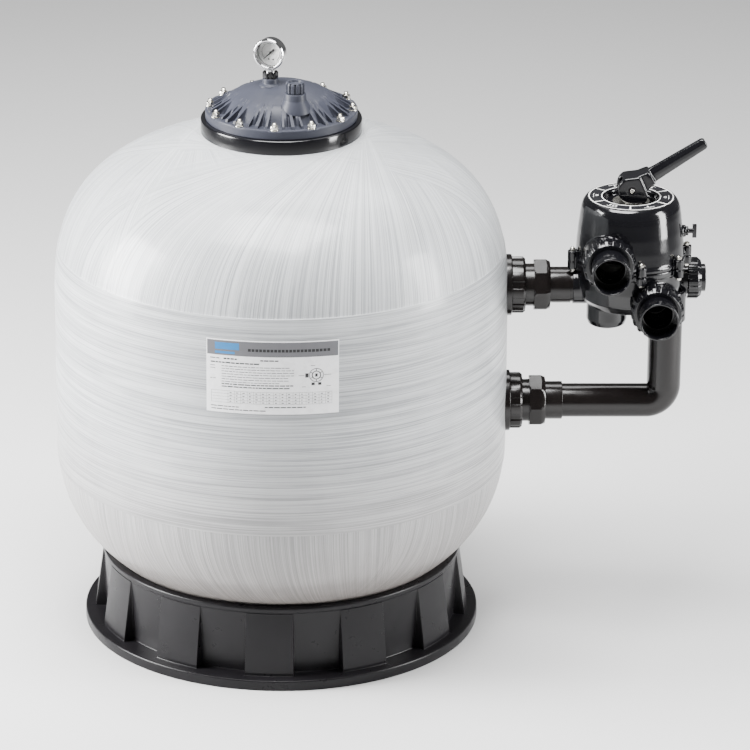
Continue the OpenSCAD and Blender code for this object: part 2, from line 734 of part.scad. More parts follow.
// ---------- handle, stem and rotor ----------
washer_top = dish_z + 4.5;
cam_gap = 0.3;
cam_r = pin_z - washer_top - cam_gap;
press_angle = 30;
hub_half = 25;
arm_half = 9;
slot_half = 11.6;
slot_low_reach = 29;
pin_r = 4;
seal_levels = [790, 802];

module thrust_washer() {
    low = dish_z + 0.2;
    color(steel) at_valve() translate([0, 0, low]) tube(34, stem_bore_r + 0.3, washer_top - low);
}
module valve_rotor() {
    shaft_h = pin_z + 14 - rotor_z - rotor_h;
    color([0.85, 0.85, 0.82]) at_valve() difference() {
        union() {
            translate([0, 0, rotor_z])
                turned([[0, 0], [86, 0], [88, 2], [88, 12], [84, rotor_h], [0, rotor_h]]);
            translate([0, 0, rotor_z + rotor_h]) turned([[0, 0], [stem_shaft_r + 5, 0],
                [stem_shaft_r + 5, 5], [stem_shaft_r, 8], [stem_shaft_r, shaft_h], [0, shaft_h]]);
        }
        // The open window and the covered transfer pocket
        rotate(-100) translate([0, 0, rotor_z - 1]) turned([[30, 0], [80, 0], [80, 40], [30, 40]], 48);
        rotate(80) translate([0, 0, rotor_z - 1]) turned([[30, 0], [80, 0], [80, 10], [30, 10]], 108);
        translate([0, 40, pin_z]) rotate([90, 0, 0]) cylinder(r = pin_r, h = 80);
        for (z = seal_levels) translate([0, 0, z]) tube(20, stem_shaft_r - 3, 3.2);
    }
}
module stem_o_rings() {
    color(rubber) at_valve() for (z = seal_levels) translate([0, 0, z + 1.6])
        ring(stem_shaft_r - 1.5, 1.5);
}

// Compression spring as a round wire swept along a helix
spring_r = 19;
wire_r = 2.2;
coils = 5;
wire_sides = 8;
spring_low = rotor_z + rotor_h;
spring_len = boss_low - spring_low;
rings_per_turn = 20;
spring_rings = coils * rings_per_turn;
function wire_pt(i, k) =
    let (a = 360 * i / rings_per_turn, b = 360 * k / wire_sides, r = spring_r + wire_r * cos(b),
        z = wire_r * 1.06 + (spring_len - 2.12 * wire_r) * i / spring_rings + wire_r * sin(b))
    [r * cos(a), r * sin(a), z];
module rotor_spring() {
    points = [for (i = [0 : spring_rings]) for (k = [0 : wire_sides - 1]) wire_pt(i, k)];
    sides = [for (i = [0 : spring_rings - 1]) for (k = [0 : wire_sides - 1])
        let (n = wire_sides, a = i * n + k, b = i * n + (k + 1) % n) [a, a + n, b + n, b]];
    first = [[for (k = [0 : wire_sides - 1]) k]];
    last = [[for (k = [wire_sides - 1 : -1 : 0]) spring_rings * wire_sides + k]];
    color(steel) at_valve() translate([0, 0, spring_low]) polyhedron(points, concat(sides, first, last));
}

module handle_pin() {
    color(steel) translate([valve_x, 0, pin_z]) rotate([90, 0, 0])
        translate([0, 0, -hub_half - 1]) cylinder(r = pin_r, h = 2 * hub_half + 2);
}
// The cam under the lever lifts the pin evenly over the washer as the lever turns. Its outline, with the
// pin at the origin, is the envelope of a flat follower that rises by cam_rate for each radian.
cam_rate = rotor_lift / press_angle * 180 / PI;
function cam_reach(a) = cam_r + max(a, 0) * PI / 180 * cam_rate;
function cam_pt(a) = [cam_reach(a) * sin(a), -cam_reach(a) * cos(a)]
    + (a > 0 ? cam_rate * [cos(a), sin(a)] : [0, 0]);
cam_outline = concat([for (a = [-150 : 6 : 0]) cam_pt(a)],
    [for (a = [tiny : 4 : press_angle + 4]) cam_pt(a)], [[30, -10], [14, 26]]);
module handle() {
    color(gloss_black) difference() {
        translate([valve_x, 0, pin_z]) union() {
            translate([0, hub_half, 0]) rotate([90, 0, 0]) linear_extrude(2 * hub_half)
                polygon(cam_outline);
            translate([0, hub_half - 4, 0]) rotate([90, 0, 0]) linear_extrude(2 * (hub_half - 4))
                rotate(handle_slope)
                    polygon([[-12, -20], [18, -17], [44, -13], [44, 13], [16, 18], [-12, 22]]);
            translate([0, arm_half, 0]) rotate([90, 0, 0]) linear_extrude(2 * arm_half)
                rotate(handle_slope) polygon([[10, -15], [handle_len - 4, -10], [handle_len, -7],
                    [handle_len, 7], [handle_len - 4, 10], [10, 14]]);
        }
        // Slot for the stem, and more room under the pin where the stem's side swings out as the lever
        // is pressed
        at_valve() translate([-stem_shaft_r - 17, -slot_half, pin_z - 50])
            cube([2 * stem_shaft_r + 26, 2 * slot_half, 50 + 18]);
        at_valve() translate([0, -slot_half, pin_z - 50]) cube([slot_low_reach, 2 * slot_half, 50 - 8]);
        translate([valve_x, 60, pin_z]) rotate([90, 0, 0]) cylinder(r = pin_r + 0.05, h = 120);
    }
}

// ---------- inside the tank ----------
inner_pipe_r = bulkhead_bore;
inner_pipe_bore = 23;
elbow_r = 45;
bulkhead_in_x = inside_r - 52;
diffuser_z = 800;
hub_z = 120;
hub_r = 66;
hub_h = 62;
// A pipe from a bulkhead to the tank axis that turns up (1) or down (-1)
module inner_pipe(z, way, z_end) {
    color(pipe_grey) union() {
        along_x(elbow_r, z) tube(inner_pipe_r, inner_pipe_bore, bulkhead_in_x + 20 - elbow_r);
        translate([elbow_r, 0, z + way * elbow_r]) rotate([90, 0, 0]) rotate(way > 0 ? 180 : 90)
            rotate_extrude(angle = 90) translate([elbow_r, 0]) difference() {
                circle(r = inner_pipe_r);
                circle(r = inner_pipe_bore);
            }
        translate([0, 0, min(z + way * elbow_r, z_end)])
            tube(inner_pipe_r, inner_pipe_bore, abs(z_end - z - way * elbow_r));
    }
}
module riser_pipe() inner_pipe(upper_z, 1, diffuser_z + 20);
module collector_pipe() inner_pipe(lower_z, -1, hub_z + hub_h - 20);
module diffuser() {
    slots = 8;
    color(pipe_grey) translate([0, 0, diffuser_z]) difference() {
        turned([[inner_pipe_r, 0], [34, 0], [50, 12], [50, 70], [44, 76], [0, 76], [0, 71], [42, 71],
            [45, 67], [45, 15], [32, 20], [inner_pipe_r, 20]]);
        round_about(slots, 47, 0) translate([-10, -6, 28]) cube([20, 12, 32]);
    }
}
lateral_r = 11;
lateral_z = 150;
lateral_len = 190;
air_r = 4;
air_xy = [-40, -40];
module lateral_hub() {
    color(pipe_grey) difference() {
        translate([0, 0, hub_z]) turned([[0, 0], [hub_r - 4, 0], [hub_r, 4], [hub_r, hub_h - 4],
            [hub_r - 4, hub_h], [0, hub_h]]);
        translate([0, 0, hub_z + 12]) cylinder(r = hub_r - 14, h = hub_h - 32);
        translate([0, 0, hub_z + hub_h - 20]) cylinder(r = inner_pipe_r, h = 40);
        translate([0, 0, hub_z + hub_h - 30]) cylinder(r = inner_pipe_bore, h = 40);
        for (k = [0 : 7]) rotate(45 * k) along_x(hub_r - 16, lateral_z) cylinder(r = 8, h = 40);
        translate([air_xy[0], air_xy[1], hub_z + hub_h - 10]) cylinder(r = air_r, h = 40);
    }
}
module laterals() {
    // Each lateral is a slotted tube with a threaded spigot
    slots = 14;
    pitch = 11;
    teeth = [for (i = [0 : slots - 1]) let (x = 20 + pitch * i)
        each [[lateral_r, x], [lateral_r - 2.5, x], [lateral_r - 2.5, x + 3], [lateral_r, x + 3]]];
    color("ivory") for (k = [0 : 7]) rotate(45 * k) along_x(hub_r - 12, lateral_z)
        turned(concat([[6, 0], [8, 0], [8, 12], [lateral_r, 12]], teeth,
            [[lateral_r, lateral_len - 3], [lateral_r - 3, lateral_len], [0, lateral_len],
            [0, lateral_len - 5], [6, lateral_len - 5]]));
}
module air_relief_tube() {
    color(pipe_grey) translate([air_xy[0], air_xy[1], hub_z + hub_h - 10]) tube(air_r, air_r - 1.5, 735);
}

// ---------- drain at the back ----------
drain_face_y = 402;
drain_nose_y = 415;
module drain_fitting() {
    color(pipe_black) to_back(0, drain_y - 5, drain_z) difference() {
        union() {
            cylinder(r = 30, h = 7);
            cylinder(r = drain_r, h = drain_nose_y - drain_y + 5);
        }
        translate([0, 0, -1]) cylinder(r = 16, h = 100);
    }
}
module drain_strainer() {
    slots = 10;
    color("ivory") to_back(0, drain_y - 40, drain_z) difference() {
        turned([[0, 0], [16, 0], [16, 60], [13, 60], [13, 3], [0, 3]]);
        for (k = [0 : slots / 2 - 1]) rotate(36 * k) translate([-20, -1, 8]) cube([40, 2, 24]);
    }
}
module drain_cap() {
    color(pipe_black) to_back(0, drain_face_y, drain_z) difference() {
        union() {
            turned([[0, 0], [26, 0], [26, 17], [24, 20], [0, 20]]);
            round_about(12, 25) translate([0, -2, 0]) cube([2.5, 4, 16]);
        }
        translate([0, 0, -1]) cylinder(r = drain_r, h = drain_nose_y - drain_face_y + 1);
    }
}

base_skirt();
tank_shell();
name_label();
neck_flange();
lid_o_ring();
lid();
lid_studs();
lid_washers();
lid_nuts();
gauge_adapter();
gauge_stem();
gauge_case();
gauge_bourdon_tube();
gauge_dial();
gauge_needle();
gauge_lens();
gauge_bezel();
bleed_knob();
bleed_o_ring();
upper_bulkhead();
lower_bulkhead();
port_gaskets();
port_saddles();
upper_locknut();
lower_locknut();
upper_union_nut();
lower_union_nut();
upper_union_tail();
lower_union_tail();
union_o_rings();
link_pipe();
valve_body();
valve_gasket();
valve_o_ring();
valve_cover();
cover_bolts();
cover_nuts();
index_plate();
gauge_port_plug();
pump_union_nut();
pump_union_tail();
return_union_nut();
return_union_tail();
waste_union_nut();
waste_plug();
thrust_washer();
valve_rotor();
rotor_spring();
stem_o_rings();
handle_pin();
handle();
riser_pipe();
diffuser();
collector_pipe();
lateral_hub();
laterals();
air_relief_tube();
drain_fitting();
drain_strainer();
drain_cap();
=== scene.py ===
import json
import math
import random

import bmesh
import bpy
from mathutils import Matrix, Vector


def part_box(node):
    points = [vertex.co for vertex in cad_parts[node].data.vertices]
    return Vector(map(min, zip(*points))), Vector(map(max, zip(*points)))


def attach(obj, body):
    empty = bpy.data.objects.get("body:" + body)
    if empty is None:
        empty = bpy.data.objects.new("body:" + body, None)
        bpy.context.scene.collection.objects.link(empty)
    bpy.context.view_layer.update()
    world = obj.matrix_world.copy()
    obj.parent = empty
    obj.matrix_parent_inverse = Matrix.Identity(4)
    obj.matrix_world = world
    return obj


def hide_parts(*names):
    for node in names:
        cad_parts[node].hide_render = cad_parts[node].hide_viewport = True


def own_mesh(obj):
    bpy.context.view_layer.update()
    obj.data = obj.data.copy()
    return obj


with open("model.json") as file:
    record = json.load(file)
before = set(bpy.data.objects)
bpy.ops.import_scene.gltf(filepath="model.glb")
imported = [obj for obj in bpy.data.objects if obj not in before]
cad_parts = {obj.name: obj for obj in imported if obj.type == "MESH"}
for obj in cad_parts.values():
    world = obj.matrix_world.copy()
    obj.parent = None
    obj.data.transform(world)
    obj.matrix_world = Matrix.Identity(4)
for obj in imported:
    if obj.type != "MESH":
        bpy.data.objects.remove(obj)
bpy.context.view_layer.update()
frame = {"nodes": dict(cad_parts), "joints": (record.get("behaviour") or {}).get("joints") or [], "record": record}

MM = 0.001
TURN = 2 * math.pi
QUARTER_X = Matrix.Rotation(math.pi / 2, 4, "X")
QUARTER_Y = Matrix.Rotation(math.pi / 2, 4, "Y")
JOINT = {row["name"]: row for row in frame["joints"]}

# ---------------------------------------------------------------- tank outline, as the CAD model has it

TANK_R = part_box("tank_shell")[1].x
WALL = 0.008
BAND_LOW, BAND_HIGH = 0.361, 0.637
CROWN_RISE, CROWN_POWER = 0.308, 2.87
DISH_DROP, DISH_POWER = 0.301, 2.24
CROWN_JOIN_R = 0.255
NECK_BED_R, NECK_BED_Z = 0.146, 0.960
NECK_OPEN_R = 0.124
HOOP_LOW, HOOP_HIGH = 0.328, 0.743      # edges of the hoop-wound band
HOOP_STEP = 0.0009                      # how far the band stands proud of the domes


def crown_point(angle, shrink=0.0):
    """A point of the upper dome, from its equator at angle 0, for a shell shrunk inwards."""
    r = (TANK_R - shrink) * math.cos(angle) ** (2 / CROWN_POWER)
    return r, BAND_HIGH + (CROWN_RISE - shrink) * math.sin(angle) ** (2 / CROWN_POWER)


def dish_point(angle, shrink=0.0):
    """A point of the lower dome, from its equator at angle 0 to the bottom at a quarter turn."""
    r = (TANK_R - shrink) * max(math.cos(angle), 0.0) ** (2 / DISH_POWER)
    return r, BAND_LOW - (DISH_DROP - shrink) * math.sin(angle) ** (2 / DISH_POWER)


def dish_radius(z):
    """Radius of the lower dome's outer face at height z."""
    return TANK_R * (1 - ((BAND_LOW - z) / DISH_DROP) ** DISH_POWER) ** (1 / DISH_POWER)


# ---------------------------------------------------------------- mesh helpers

def lerp(a, b, t):
    return a + (b - a) * t


def smoothstep(x):
    x = min(max(x, 0.0), 1.0)
    return x * x * (3 - 2 * x)


def mesh_object(name, bm, crease=35):
    """A new object from a bmesh, shaded smooth with sharp edges over crease degrees."""
    bmesh.ops.recalc_face_normals(bm, faces=bm.faces)
    mesh = bpy.data.meshes.new(name)
    bm.to_mesh(mesh)
    bm.free()
    mesh.shade_smooth()
    mesh.set_sharp_from_angle(angle=math.radians(crease))
    made = bpy.data.objects.new(name, mesh)
    bpy.context.scene.collection.objects.link(made)
    return made


def rounded(points, steps=4):
    """An outline whose corners are arcs. Each point is (radius, height) or (radius, height, corner)."""
    out = []
    for i, point in enumerate(points):
        p = Vector(point[:2])
        before = Vector(points[i - 1][:2]) - p
        after = Vector(points[(i + 1) % len(points)][:2]) - p
        corner = point[2] if len(point) > 2 else 0
        if corner <= 0 or before.length < 1e-7 or after.length < 1e-7:
            out.append(tuple(p))
            continue
        half = before.angle(after) / 2
        if half > math.pi / 2 - 0.01:
            out.append(tuple(p))
            continue
        cut = min(corner / math.tan(half), 0.48 * before.length, 0.48 * after.length)
        start = p + before.normalized() * cut
        end = p + after.normalized() * cut
        centre = p + (before.normalized() + after.normalized()).normalized() * cut / math.cos(half)
        reach = (start - centre).length
        for k in range(steps + 1):
            out.append(tuple(centre + reach * (start - centre).slerp(end - centre, k / steps)))
    return out


def lathe(name, outline, place=Matrix.Identity(4), steps=96, shape=None, angles=None, crease=35):
    """A closed piece turned about its own +Z. shape(angle, r, z) may change the radius round the turn.
    outline is a list of (radius, height), or a function that gives one for each angle."""
    angles = angles or [TURN * i / steps for i in range(steps)]
    outline_at = outline if callable(outline) else lambda angle: outline
    ends = outline_at(0)
    open_ends = ends[0][0] < 1e-7 and ends[-1][0] < 1e-7
    bm = bmesh.new()
    columns = []
    for a in angles:
        column = []
        for r, z in outline_at(a):
            radius = shape(a, r, z) if shape else r
            column.append(bm.verts.new(place @ Vector((radius * math.cos(a), radius * math.sin(a), z))))
        columns.append(column)
    count = len(ends)
    for i, column in enumerate(columns):
        other = columns[(i + 1) % len(columns)]
        for k in range(count - 1 if open_ends else count):
            m = (k + 1) % count
            bm.faces.new((column[k], column[m], other[m], other[k]))
    bmesh.ops.remove_doubles(bm, verts=bm.verts, dist=1e-7)
    return mesh_object(name, bm, crease)


def prism(bm, low, high):
    """Adds a solid between two matching loops of points."""
    one = [bm.verts.new(p) for p in low]
    two = [bm.verts.new(p) for p in high]
    for k in range(len(one)):
        m = (k + 1) % len(one)
        bm.faces.new((one[k], one[m], two[m], two[k]))
    bm.faces.new(one[::-1])
    bm.faces.new(two)


def arc_box(bm, place, radii, degrees, heights, cuts=1):
    """Adds a flat box bent round place's +Z, or a ring where the degrees make a full turn."""
    (r0, r1), (a0, a1), (z0, z1) = radii, degrees, heights
    whole = a1 - a0 >= 360
    rows = []
    for k in range(cuts if whole else cuts + 1):
        a = math.radians(lerp(a0, a1, k / cuts))
        rows.append([bm.verts.new(place @ Vector((r * math.cos(a), r * math.sin(a), z)))
                     for r, z in ((r0, z0), (r1, z0), (r1, z1), (r0, z1))])
    for i in range(cuts):
        one, two = rows[i], rows[(i + 1) % len(rows)]
        for k in range(4):
            bm.faces.new((one[k], one[(k + 1) % 4], two[(k + 1) % 4], two[k]))
    if not whole:
        bm.faces.new(rows[0][::-1])
        bm.faces.new(rows[-1])


def cad_copy(name, node):
    """A new object with a welded copy of a CAD node's mesh."""
    bm = bmesh.new()
    bm.from_mesh(frame["nodes"][node].data)
    bmesh.ops.remove_doubles(bm, verts=bm.verts, dist=1e-6)
    return mesh_object(name, bm)


def apply_modifiers(piece):
    """The piece's mesh becomes what its modifiers make of it."""
    graph = bpy.context.evaluated_depsgraph_get()
    mesh = bpy.data.meshes.new_from_object(piece.evaluated_get(graph))
    piece.modifiers.clear()
    piece.data = mesh
    return piece


def moulded(name, node, voxel, soften):
    """A CAD node as a moulding: the same shape with every edge and inner corner softly rounded."""
    piece = cad_copy(name, node)
    remesh = piece.modifiers.new("remesh", "REMESH")
    remesh.mode = "VOXEL"
    remesh.voxel_size = voxel * 1
    smooth = piece.modifiers.new("smooth", "SMOOTH")
    smooth.factor = 0.5
    smooth.iterations = soften
    apply_modifiers(piece)
    piece.data.shade_smooth()
    return piece


def joined(name, pieces, crease=35):
    """Several objects as one."""
    bm = bmesh.new()
    for piece in pieces:
        bm.from_mesh(piece.data)
        bpy.data.objects.remove(piece)
    return mesh_object(name, bm, crease)


def place_of(node, axis):
    """(matrix with local +Z along the node's axis from its near end, length, outer radius)."""
    low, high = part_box(node)
    mid = (low + high) / 2
    if axis == "x":
        return Matrix.Translation((low.x, mid.y, mid.z)) @ QUARTER_Y, high.x - low.x, (high.z - low.z) / 2
    if axis == "front":
        return Matrix.Translation((mid.x, high.y, mid.z)) @ QUARTER_X, high.y - low.y, (high.z - low.z) / 2
    if axis == "back":
        turn = Matrix.Rotation(-math.pi / 2, 4, "X")
        return Matrix.Translation((mid.x, low.y, mid.z)) @ turn, high.y - low.y, (high.z - low.z) / 2
    return Matrix.Translation((mid.x, mid.y, low.z)), high.z - low.z, (high.x - low.x) / 2


def many_sided(sides, flat, above):
    """A shape for lathe(): flats at distance flat from the axis, on every point wider than above."""
    def shape(angle, r, z):
        if r <= above:
            return r
        part = TURN / sides
        return min(r, flat / math.cos((angle % part) - part / 2))
    return shape


def ribbed(count, depth, above, share=0.5, edge=0.12):
    """A shape for lathe(): count grooves of that depth on every point wider than above."""
    def shape(angle, r, z):
        if r <= above:
            return r
        phase = (angle / TURN * count) % 1.0
        from_rib = abs(phase - 0.5) * 2
        return r - depth * smoothstep((from_rib - share) / edge + 0.5)
    return shape


# ---------------------------------------------------------------- materials

class Shader:
    """A procedural material being made. Its methods return the sockets of the nodes they add."""

    def __init__(self, name, **values):
        self.material = bpy.data.materials.new(name)
        self.material.use_nodes = True
        self.tree = self.material.node_tree
        self.bsdf = self.tree.nodes["Principled BSDF"]
        for key, value in values.items():
            self.bsdf.inputs[key.replace("_", " ")].default_value = value
        self.where = self.node("ShaderNodeTexCoord").outputs["Object"]

    def node(self, kind, **inputs):
        made = self.tree.nodes.new(kind)
        for key, value in inputs.items():
            self.feed(made.inputs[key.replace("_", " ")], value)
        return made

    def feed(self, socket, value):
        if isinstance(value, bpy.types.NodeSocket):
            self.tree.links.new(value, socket)
        else:
            socket.default_value = value

    def set(self, **inputs):
        for key, value in inputs.items():
            self.feed(self.bsdf.inputs[key.replace("_", " ")], value)

    def math(self, operation, a, b=0.0, c=0.0):
        made = self.tree.nodes.new("ShaderNodeMath")
        made.operation = operation
        for socket, value in zip(made.inputs, (a, b, c)):
            self.feed(socket, value)
        return made.outputs[0]

    def plus(self, a, b):
        return self.math("ADD", a, b)

    def times(self, a, b):
        return self.math("MULTIPLY", a, b)

    def between(self, share, one, two):
        """The number one where share is 0 and two where it is 1."""
        return self.plus(self.times(one, self.math("SUBTRACT", 1.0, share)), self.times(two, share))

    def split(self, vector):
        made = self.node("ShaderNodeSeparateXYZ")
        self.feed(made.inputs[0], vector)
        return made.outputs

    def join(self, x, y, z):
        made = self.node("ShaderNodeCombineXYZ")
        for socket, value in zip(made.inputs, (x, y, z)):
            self.feed(socket, value)
        return made.outputs[0]

    def noise(self, vector, scale, detail=2.0, roughness=0.5):
        made = self.node("ShaderNodeTexNoise", Vector=vector, Scale=scale, Detail=detail, Roughness=roughness)
        return made.outputs[0]

    def ramp(self, value, low, high, to_low=0.0, to_high=1.0):
        """value from low to high becomes to_low to to_high, and no further."""
        made = self.node("ShaderNodeMapRange")
        made.clamp = True
        for socket, number in zip(made.inputs, (value, low, high, to_low, to_high)):
            self.feed(socket, number)
        return made.outputs[0]

    def blend(self, share, one, two):
        """A colour between one and two."""
        made = self.tree.nodes.new("ShaderNodeMix")
        made.data_type = "RGBA"
        self.feed(made.inputs[0], share)
        for socket, colour in ((made.inputs[6], one), (made.inputs[7], two)):
            self.feed(socket, colour if isinstance(colour, bpy.types.NodeSocket) else (*colour, 1))
        return made.outputs[2]

    def bump(self, height, distance, strength=1.0):
        made = self.node("ShaderNodeBump", Height=height, Strength=strength, Distance=distance)
        self.feed(self.bsdf.inputs["Normal"], made.outputs[0])


def shade(colour, factor):
    """A lighter or darker colour."""
    return tuple(min(1.0, c * factor) for c in colour)


def plastic(name, colour, rough=(0.2, 0.32), vary=0.12, grain=0.00002, grain_size=700.0, **values):
    """Moulded plastic: a slow drift of tone, flow marks in the gloss and a fine mould grain."""
    s = Shader(name, **values)
    drift = s.noise(s.where, 9.0, 3.0)
    flow = s.noise(s.where, 34.0, 4.0, 0.65)
    fine = s.noise(s.where, grain_size, 2.0)
    tone = s.plus(s.times(drift, 0.7), s.times(flow, 0.3))
    s.set(Base_Color=s.blend(s.ramp(tone, 0.35, 0.65), shade(colour, 1 - vary), shade(colour, 1 + vary)),
          Roughness=s.ramp(flow, 0.3, 0.7, rough[0], rough[1]))
    s.bump(fine, grain)
    return s.material


def metal(name, colour, rough=(0.15, 0.35), scratch=900.0, depth=0.00001, **values):
    """Metal with fine scratches and slightly clouded gloss."""
    s = Shader(name, Metallic=1.0, **values)
    x, y, z = s.split(s.where)
    lines = s.noise(s.join(s.times(x, 0.2), y, s.times(z, 1.4)), scratch, 3.0, 0.7)
    cloud = s.noise(s.where, 60.0, 3.0)
    s.set(Base_Color=s.blend(s.ramp(cloud, 0.3, 0.7), shade(colour, 0.86), colour),
          Roughness=s.ramp(s.plus(s.times(lines, 0.6), s.times(cloud, 0.4)),
                           0.3, 0.7, rough[0], rough[1]))
    s.bump(lines, depth)
    return s.material


def wound_glass():
    """Glass fibre wound in clear resin: polar strands on the domes, hoop strands on the band."""
    s = Shader("wound_glass", IOR=1.5, Coat_Weight=0.35, Coat_Roughness=0.16, Specular_IOR_Level=0.5)
    x, y, z = s.split(s.where)
    r = s.math("SQRT", s.plus(s.times(x, x), s.times(y, y)))
    around = s.math("ARCTAN2", y, x)
    neck_r = 0.150
    lean = s.math("ARCCOSINE", s.math("MINIMUM", s.math("DIVIDE", neck_r, s.math("MAXIMUM", r, 0.01)), 1.0))

    def strands(turn, count, along, detail=3.0):
        # A strand is the straight run that touches the neck circle at one turn
        c = s.times(s.math("COSINE", turn), count)
        d = s.times(s.math("SINE", turn), count)
        return s.noise(s.join(c, d, s.times(z, along)), 1.0, detail, 0.6)

    turn_a = s.plus(around, lean)
    turn_b = s.math("SUBTRACT", around, lean)
    # Which of the two families lies on top changes from band to band of tows
    over = s.ramp(s.math("SUBTRACT", strands(turn_a, 2.2, 0.6, 1.0), strands(turn_b, 1.6, 0.6, 1.0)),
                  -0.10, 0.05)
    polar = s.between(over, strands(turn_b, 230.0, 3.0), strands(turn_a, 230.0, 3.0))
    polar_tow = s.between(over, strands(turn_b, 60.0, 1.5, 1.0), strands(turn_a, 60.0, 1.5, 1.0))

    hoop_c = s.times(s.math("COSINE", around), 1.3)
    hoop_d = s.times(s.math("SINE", around), 1.3)
    hoop = s.noise(s.join(hoop_c, hoop_d, s.times(z, 520.0)), 1.0, 3.0, 0.65)
    hoop_tow = s.noise(s.join(hoop_c, hoop_d, s.times(z, 90.0)), 1.0, 1.0)
    in_band = s.times(s.ramp(z, HOOP_LOW - 0.0005, HOOP_LOW + 0.0005),
                      s.ramp(z, HOOP_HIGH + 0.0005, HOOP_HIGH - 0.0005))
    fibre = s.between(in_band, polar, hoop)
    tow = s.between(in_band, polar_tow, hoop_tow)
    resin = s.noise(s.where, 16.0, 5.0, 0.6)
    near_neck = s.ramp(r, 0.27, 0.15)
    gaps = s.plus(s.ramp(fibre, 0.38, 0.30), s.times(s.ramp(fibre, 0.50, 0.40), near_neck))
    clean = (0.50, 0.515, 0.525)
    grey = (0.225, 0.235, 0.245)
    # The lower dome's beige tint, kept darker than the clean fibre as painted shade
    warm_tint_in_painted_shade = (0.235, 0.210, 0.195)
    gap_grey = (0.22, 0.225, 0.225)
    tone = s.plus(s.times(s.ramp(fibre, 0.40, 0.58), 0.62),
                  s.plus(s.times(s.ramp(tow, 0.40, 0.60), 0.28), s.times(s.ramp(resin, 0.35, 0.65), 0.12)))
    # The lower dome turns warmer towards the base, a real beige tint, and darker there as painted shade
    below = s.ramp(z, 0.50, 0.16, 0.0, 0.92)
    colour = s.blend(below, s.blend(tone, grey, clean), s.blend(tone, shade(warm_tint_in_painted_shade, 0.62), warm_tint_in_painted_shade))
    gloss = s.plus(s.times(fibre, 0.7), s.times(resin, 0.3))
    s.set(Base_Color=s.blend(s.math("MINIMUM", s.times(gaps, 0.55), 0.8), colour, gap_grey),
          Roughness=s.ramp(gloss, 0.3, 0.7, 0.50, 0.34))
    s.bump(s.plus(s.times(fibre, 0.7), s.times(tow, 0.8)), 0.0006)
    return s.material


def clear_glass():
    """Thin clear plastic: it lets the dial show and adds only a gloss."""
    s = Shader("gauge_glass", Alpha=0.07, IOR=1.5)
    smear = s.noise(s.where, 120.0, 3.0)
    s.set(Base_Color=s.blend(smear, (0.03, 0.03, 0.03), (0.05, 0.05, 0.05)),
          Roughness=s.ramp(smear, 0.3, 0.7, 0.0, 0.03))
    return s.material


def printed(name, colour, rough=0.45):
    """Printed ink or film, with a little unevenness."""
    s = Shader(name)
    patch = s.noise(s.where, 70.0, 3.0)
    fine = s.noise(s.where, 1500.0, 2.0)
    s.set(Base_Color=s.blend(s.ramp(patch, 0.3, 0.7), shade(colour, 0.94), shade(colour, 1.03)),
          Roughness=s.ramp(patch, 0.3, 0.7, rough - 0.06, rough + 0.06))
    s.bump(fine, 0.000008)
    return s.material


MAT = {
    "wound_shell": wound_glass(),
    "base_plastic": plastic("base_plastic", (0.007, 0.0065, 0.0075), (0.26, 0.38), 0.2, 0.00004, 500.0,
                            Specular_IOR_Level=0.2),
    "label_film": printed("label_film", (0.86, 0.86, 0.87), 0.3),
    "label_grey": printed("label_grey", (0.12, 0.12, 0.13), 0.35),
    "label_ink": printed("label_ink", (0.006, 0.006, 0.007), 0.4),
    "label_blue": printed("label_blue", (0.015, 0.17, 0.42), 0.4),
    "lid_plastic": plastic("lid_plastic", (0.030, 0.032, 0.043), (0.38, 0.46), 0.07, 0.00003, 600.0,
                           Specular_IOR_Level=0.2),
    "valve_plastic": plastic("valve_plastic", (0.0035, 0.0035, 0.0045), (0.09, 0.16), 0.2, 0.000002),
    "fitting_plastic": plastic("fitting_plastic", (0.0055, 0.0042, 0.004), (0.16, 0.24), 0.2, 0.000004,
                               Specular_IOR_Level=0.4),
    "seal_rubber": plastic("seal_rubber", (0.012, 0.012, 0.012), (0.55, 0.7), 0.2, 0.00003, 400.0),
    "zinc_steel": metal("zinc_steel", (0.74, 0.72, 0.66), (0.16, 0.32)),
    "gauge_steel": metal("gauge_steel", (0.82, 0.82, 0.83), (0.04, 0.10), 500.0, 0.000002),
    "tube_brass": metal("tube_brass", (0.72, 0.50, 0.22), (0.2, 0.4)),
    "dial_white": printed("dial_white", (0.86, 0.86, 0.84), 0.4),
    "needle_black": printed("needle_black", (0.010, 0.010, 0.010), 0.35),
    "gauge_glass": clear_glass(),
    "dial_plate": plastic("dial_plate", (0.006, 0.006, 0.008), (0.34, 0.44), 0.2, 0.000006,
                          Specular_IOR_Level=0.3),
    "dial_lines": printed("dial_lines", (0.88, 0.88, 0.86), 0.3),
    "rotor_plastic": plastic("rotor_plastic", (0.30, 0.30, 0.28), (0.35, 0.5), 0.08),
    "inner_plastic": plastic("inner_plastic", (0.17, 0.18, 0.20), (0.35, 0.5), 0.08),
    "lateral_plastic": plastic("lateral_plastic", (0.60, 0.57, 0.48), (0.4, 0.55), 0.06),
}
SLOT_OF = {row["node"]: row["material_slot"] for row in frame["record"]["subparts"]}


def dress(piece, material):
    """Gives a piece one material and no other."""
    piece.data.materials.clear()
    piece.data.materials.append(MAT[material])


def add(piece, body, slot, *nodes, material=None):
    """Puts a finished piece on its body, gives it its material and hides the CAD nodes that it stands for."""
    dress(piece, material or slot)
    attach(piece, body)
    if nodes:
        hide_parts(*nodes)
    return piece


for node, cad in frame["nodes"].items():
    dress(cad, SLOT_OF[node])

# ---------------------------------------------------------------- tank

PORT_HOLE_R, DRAIN_HOLE_R = 0.0395, 0.022


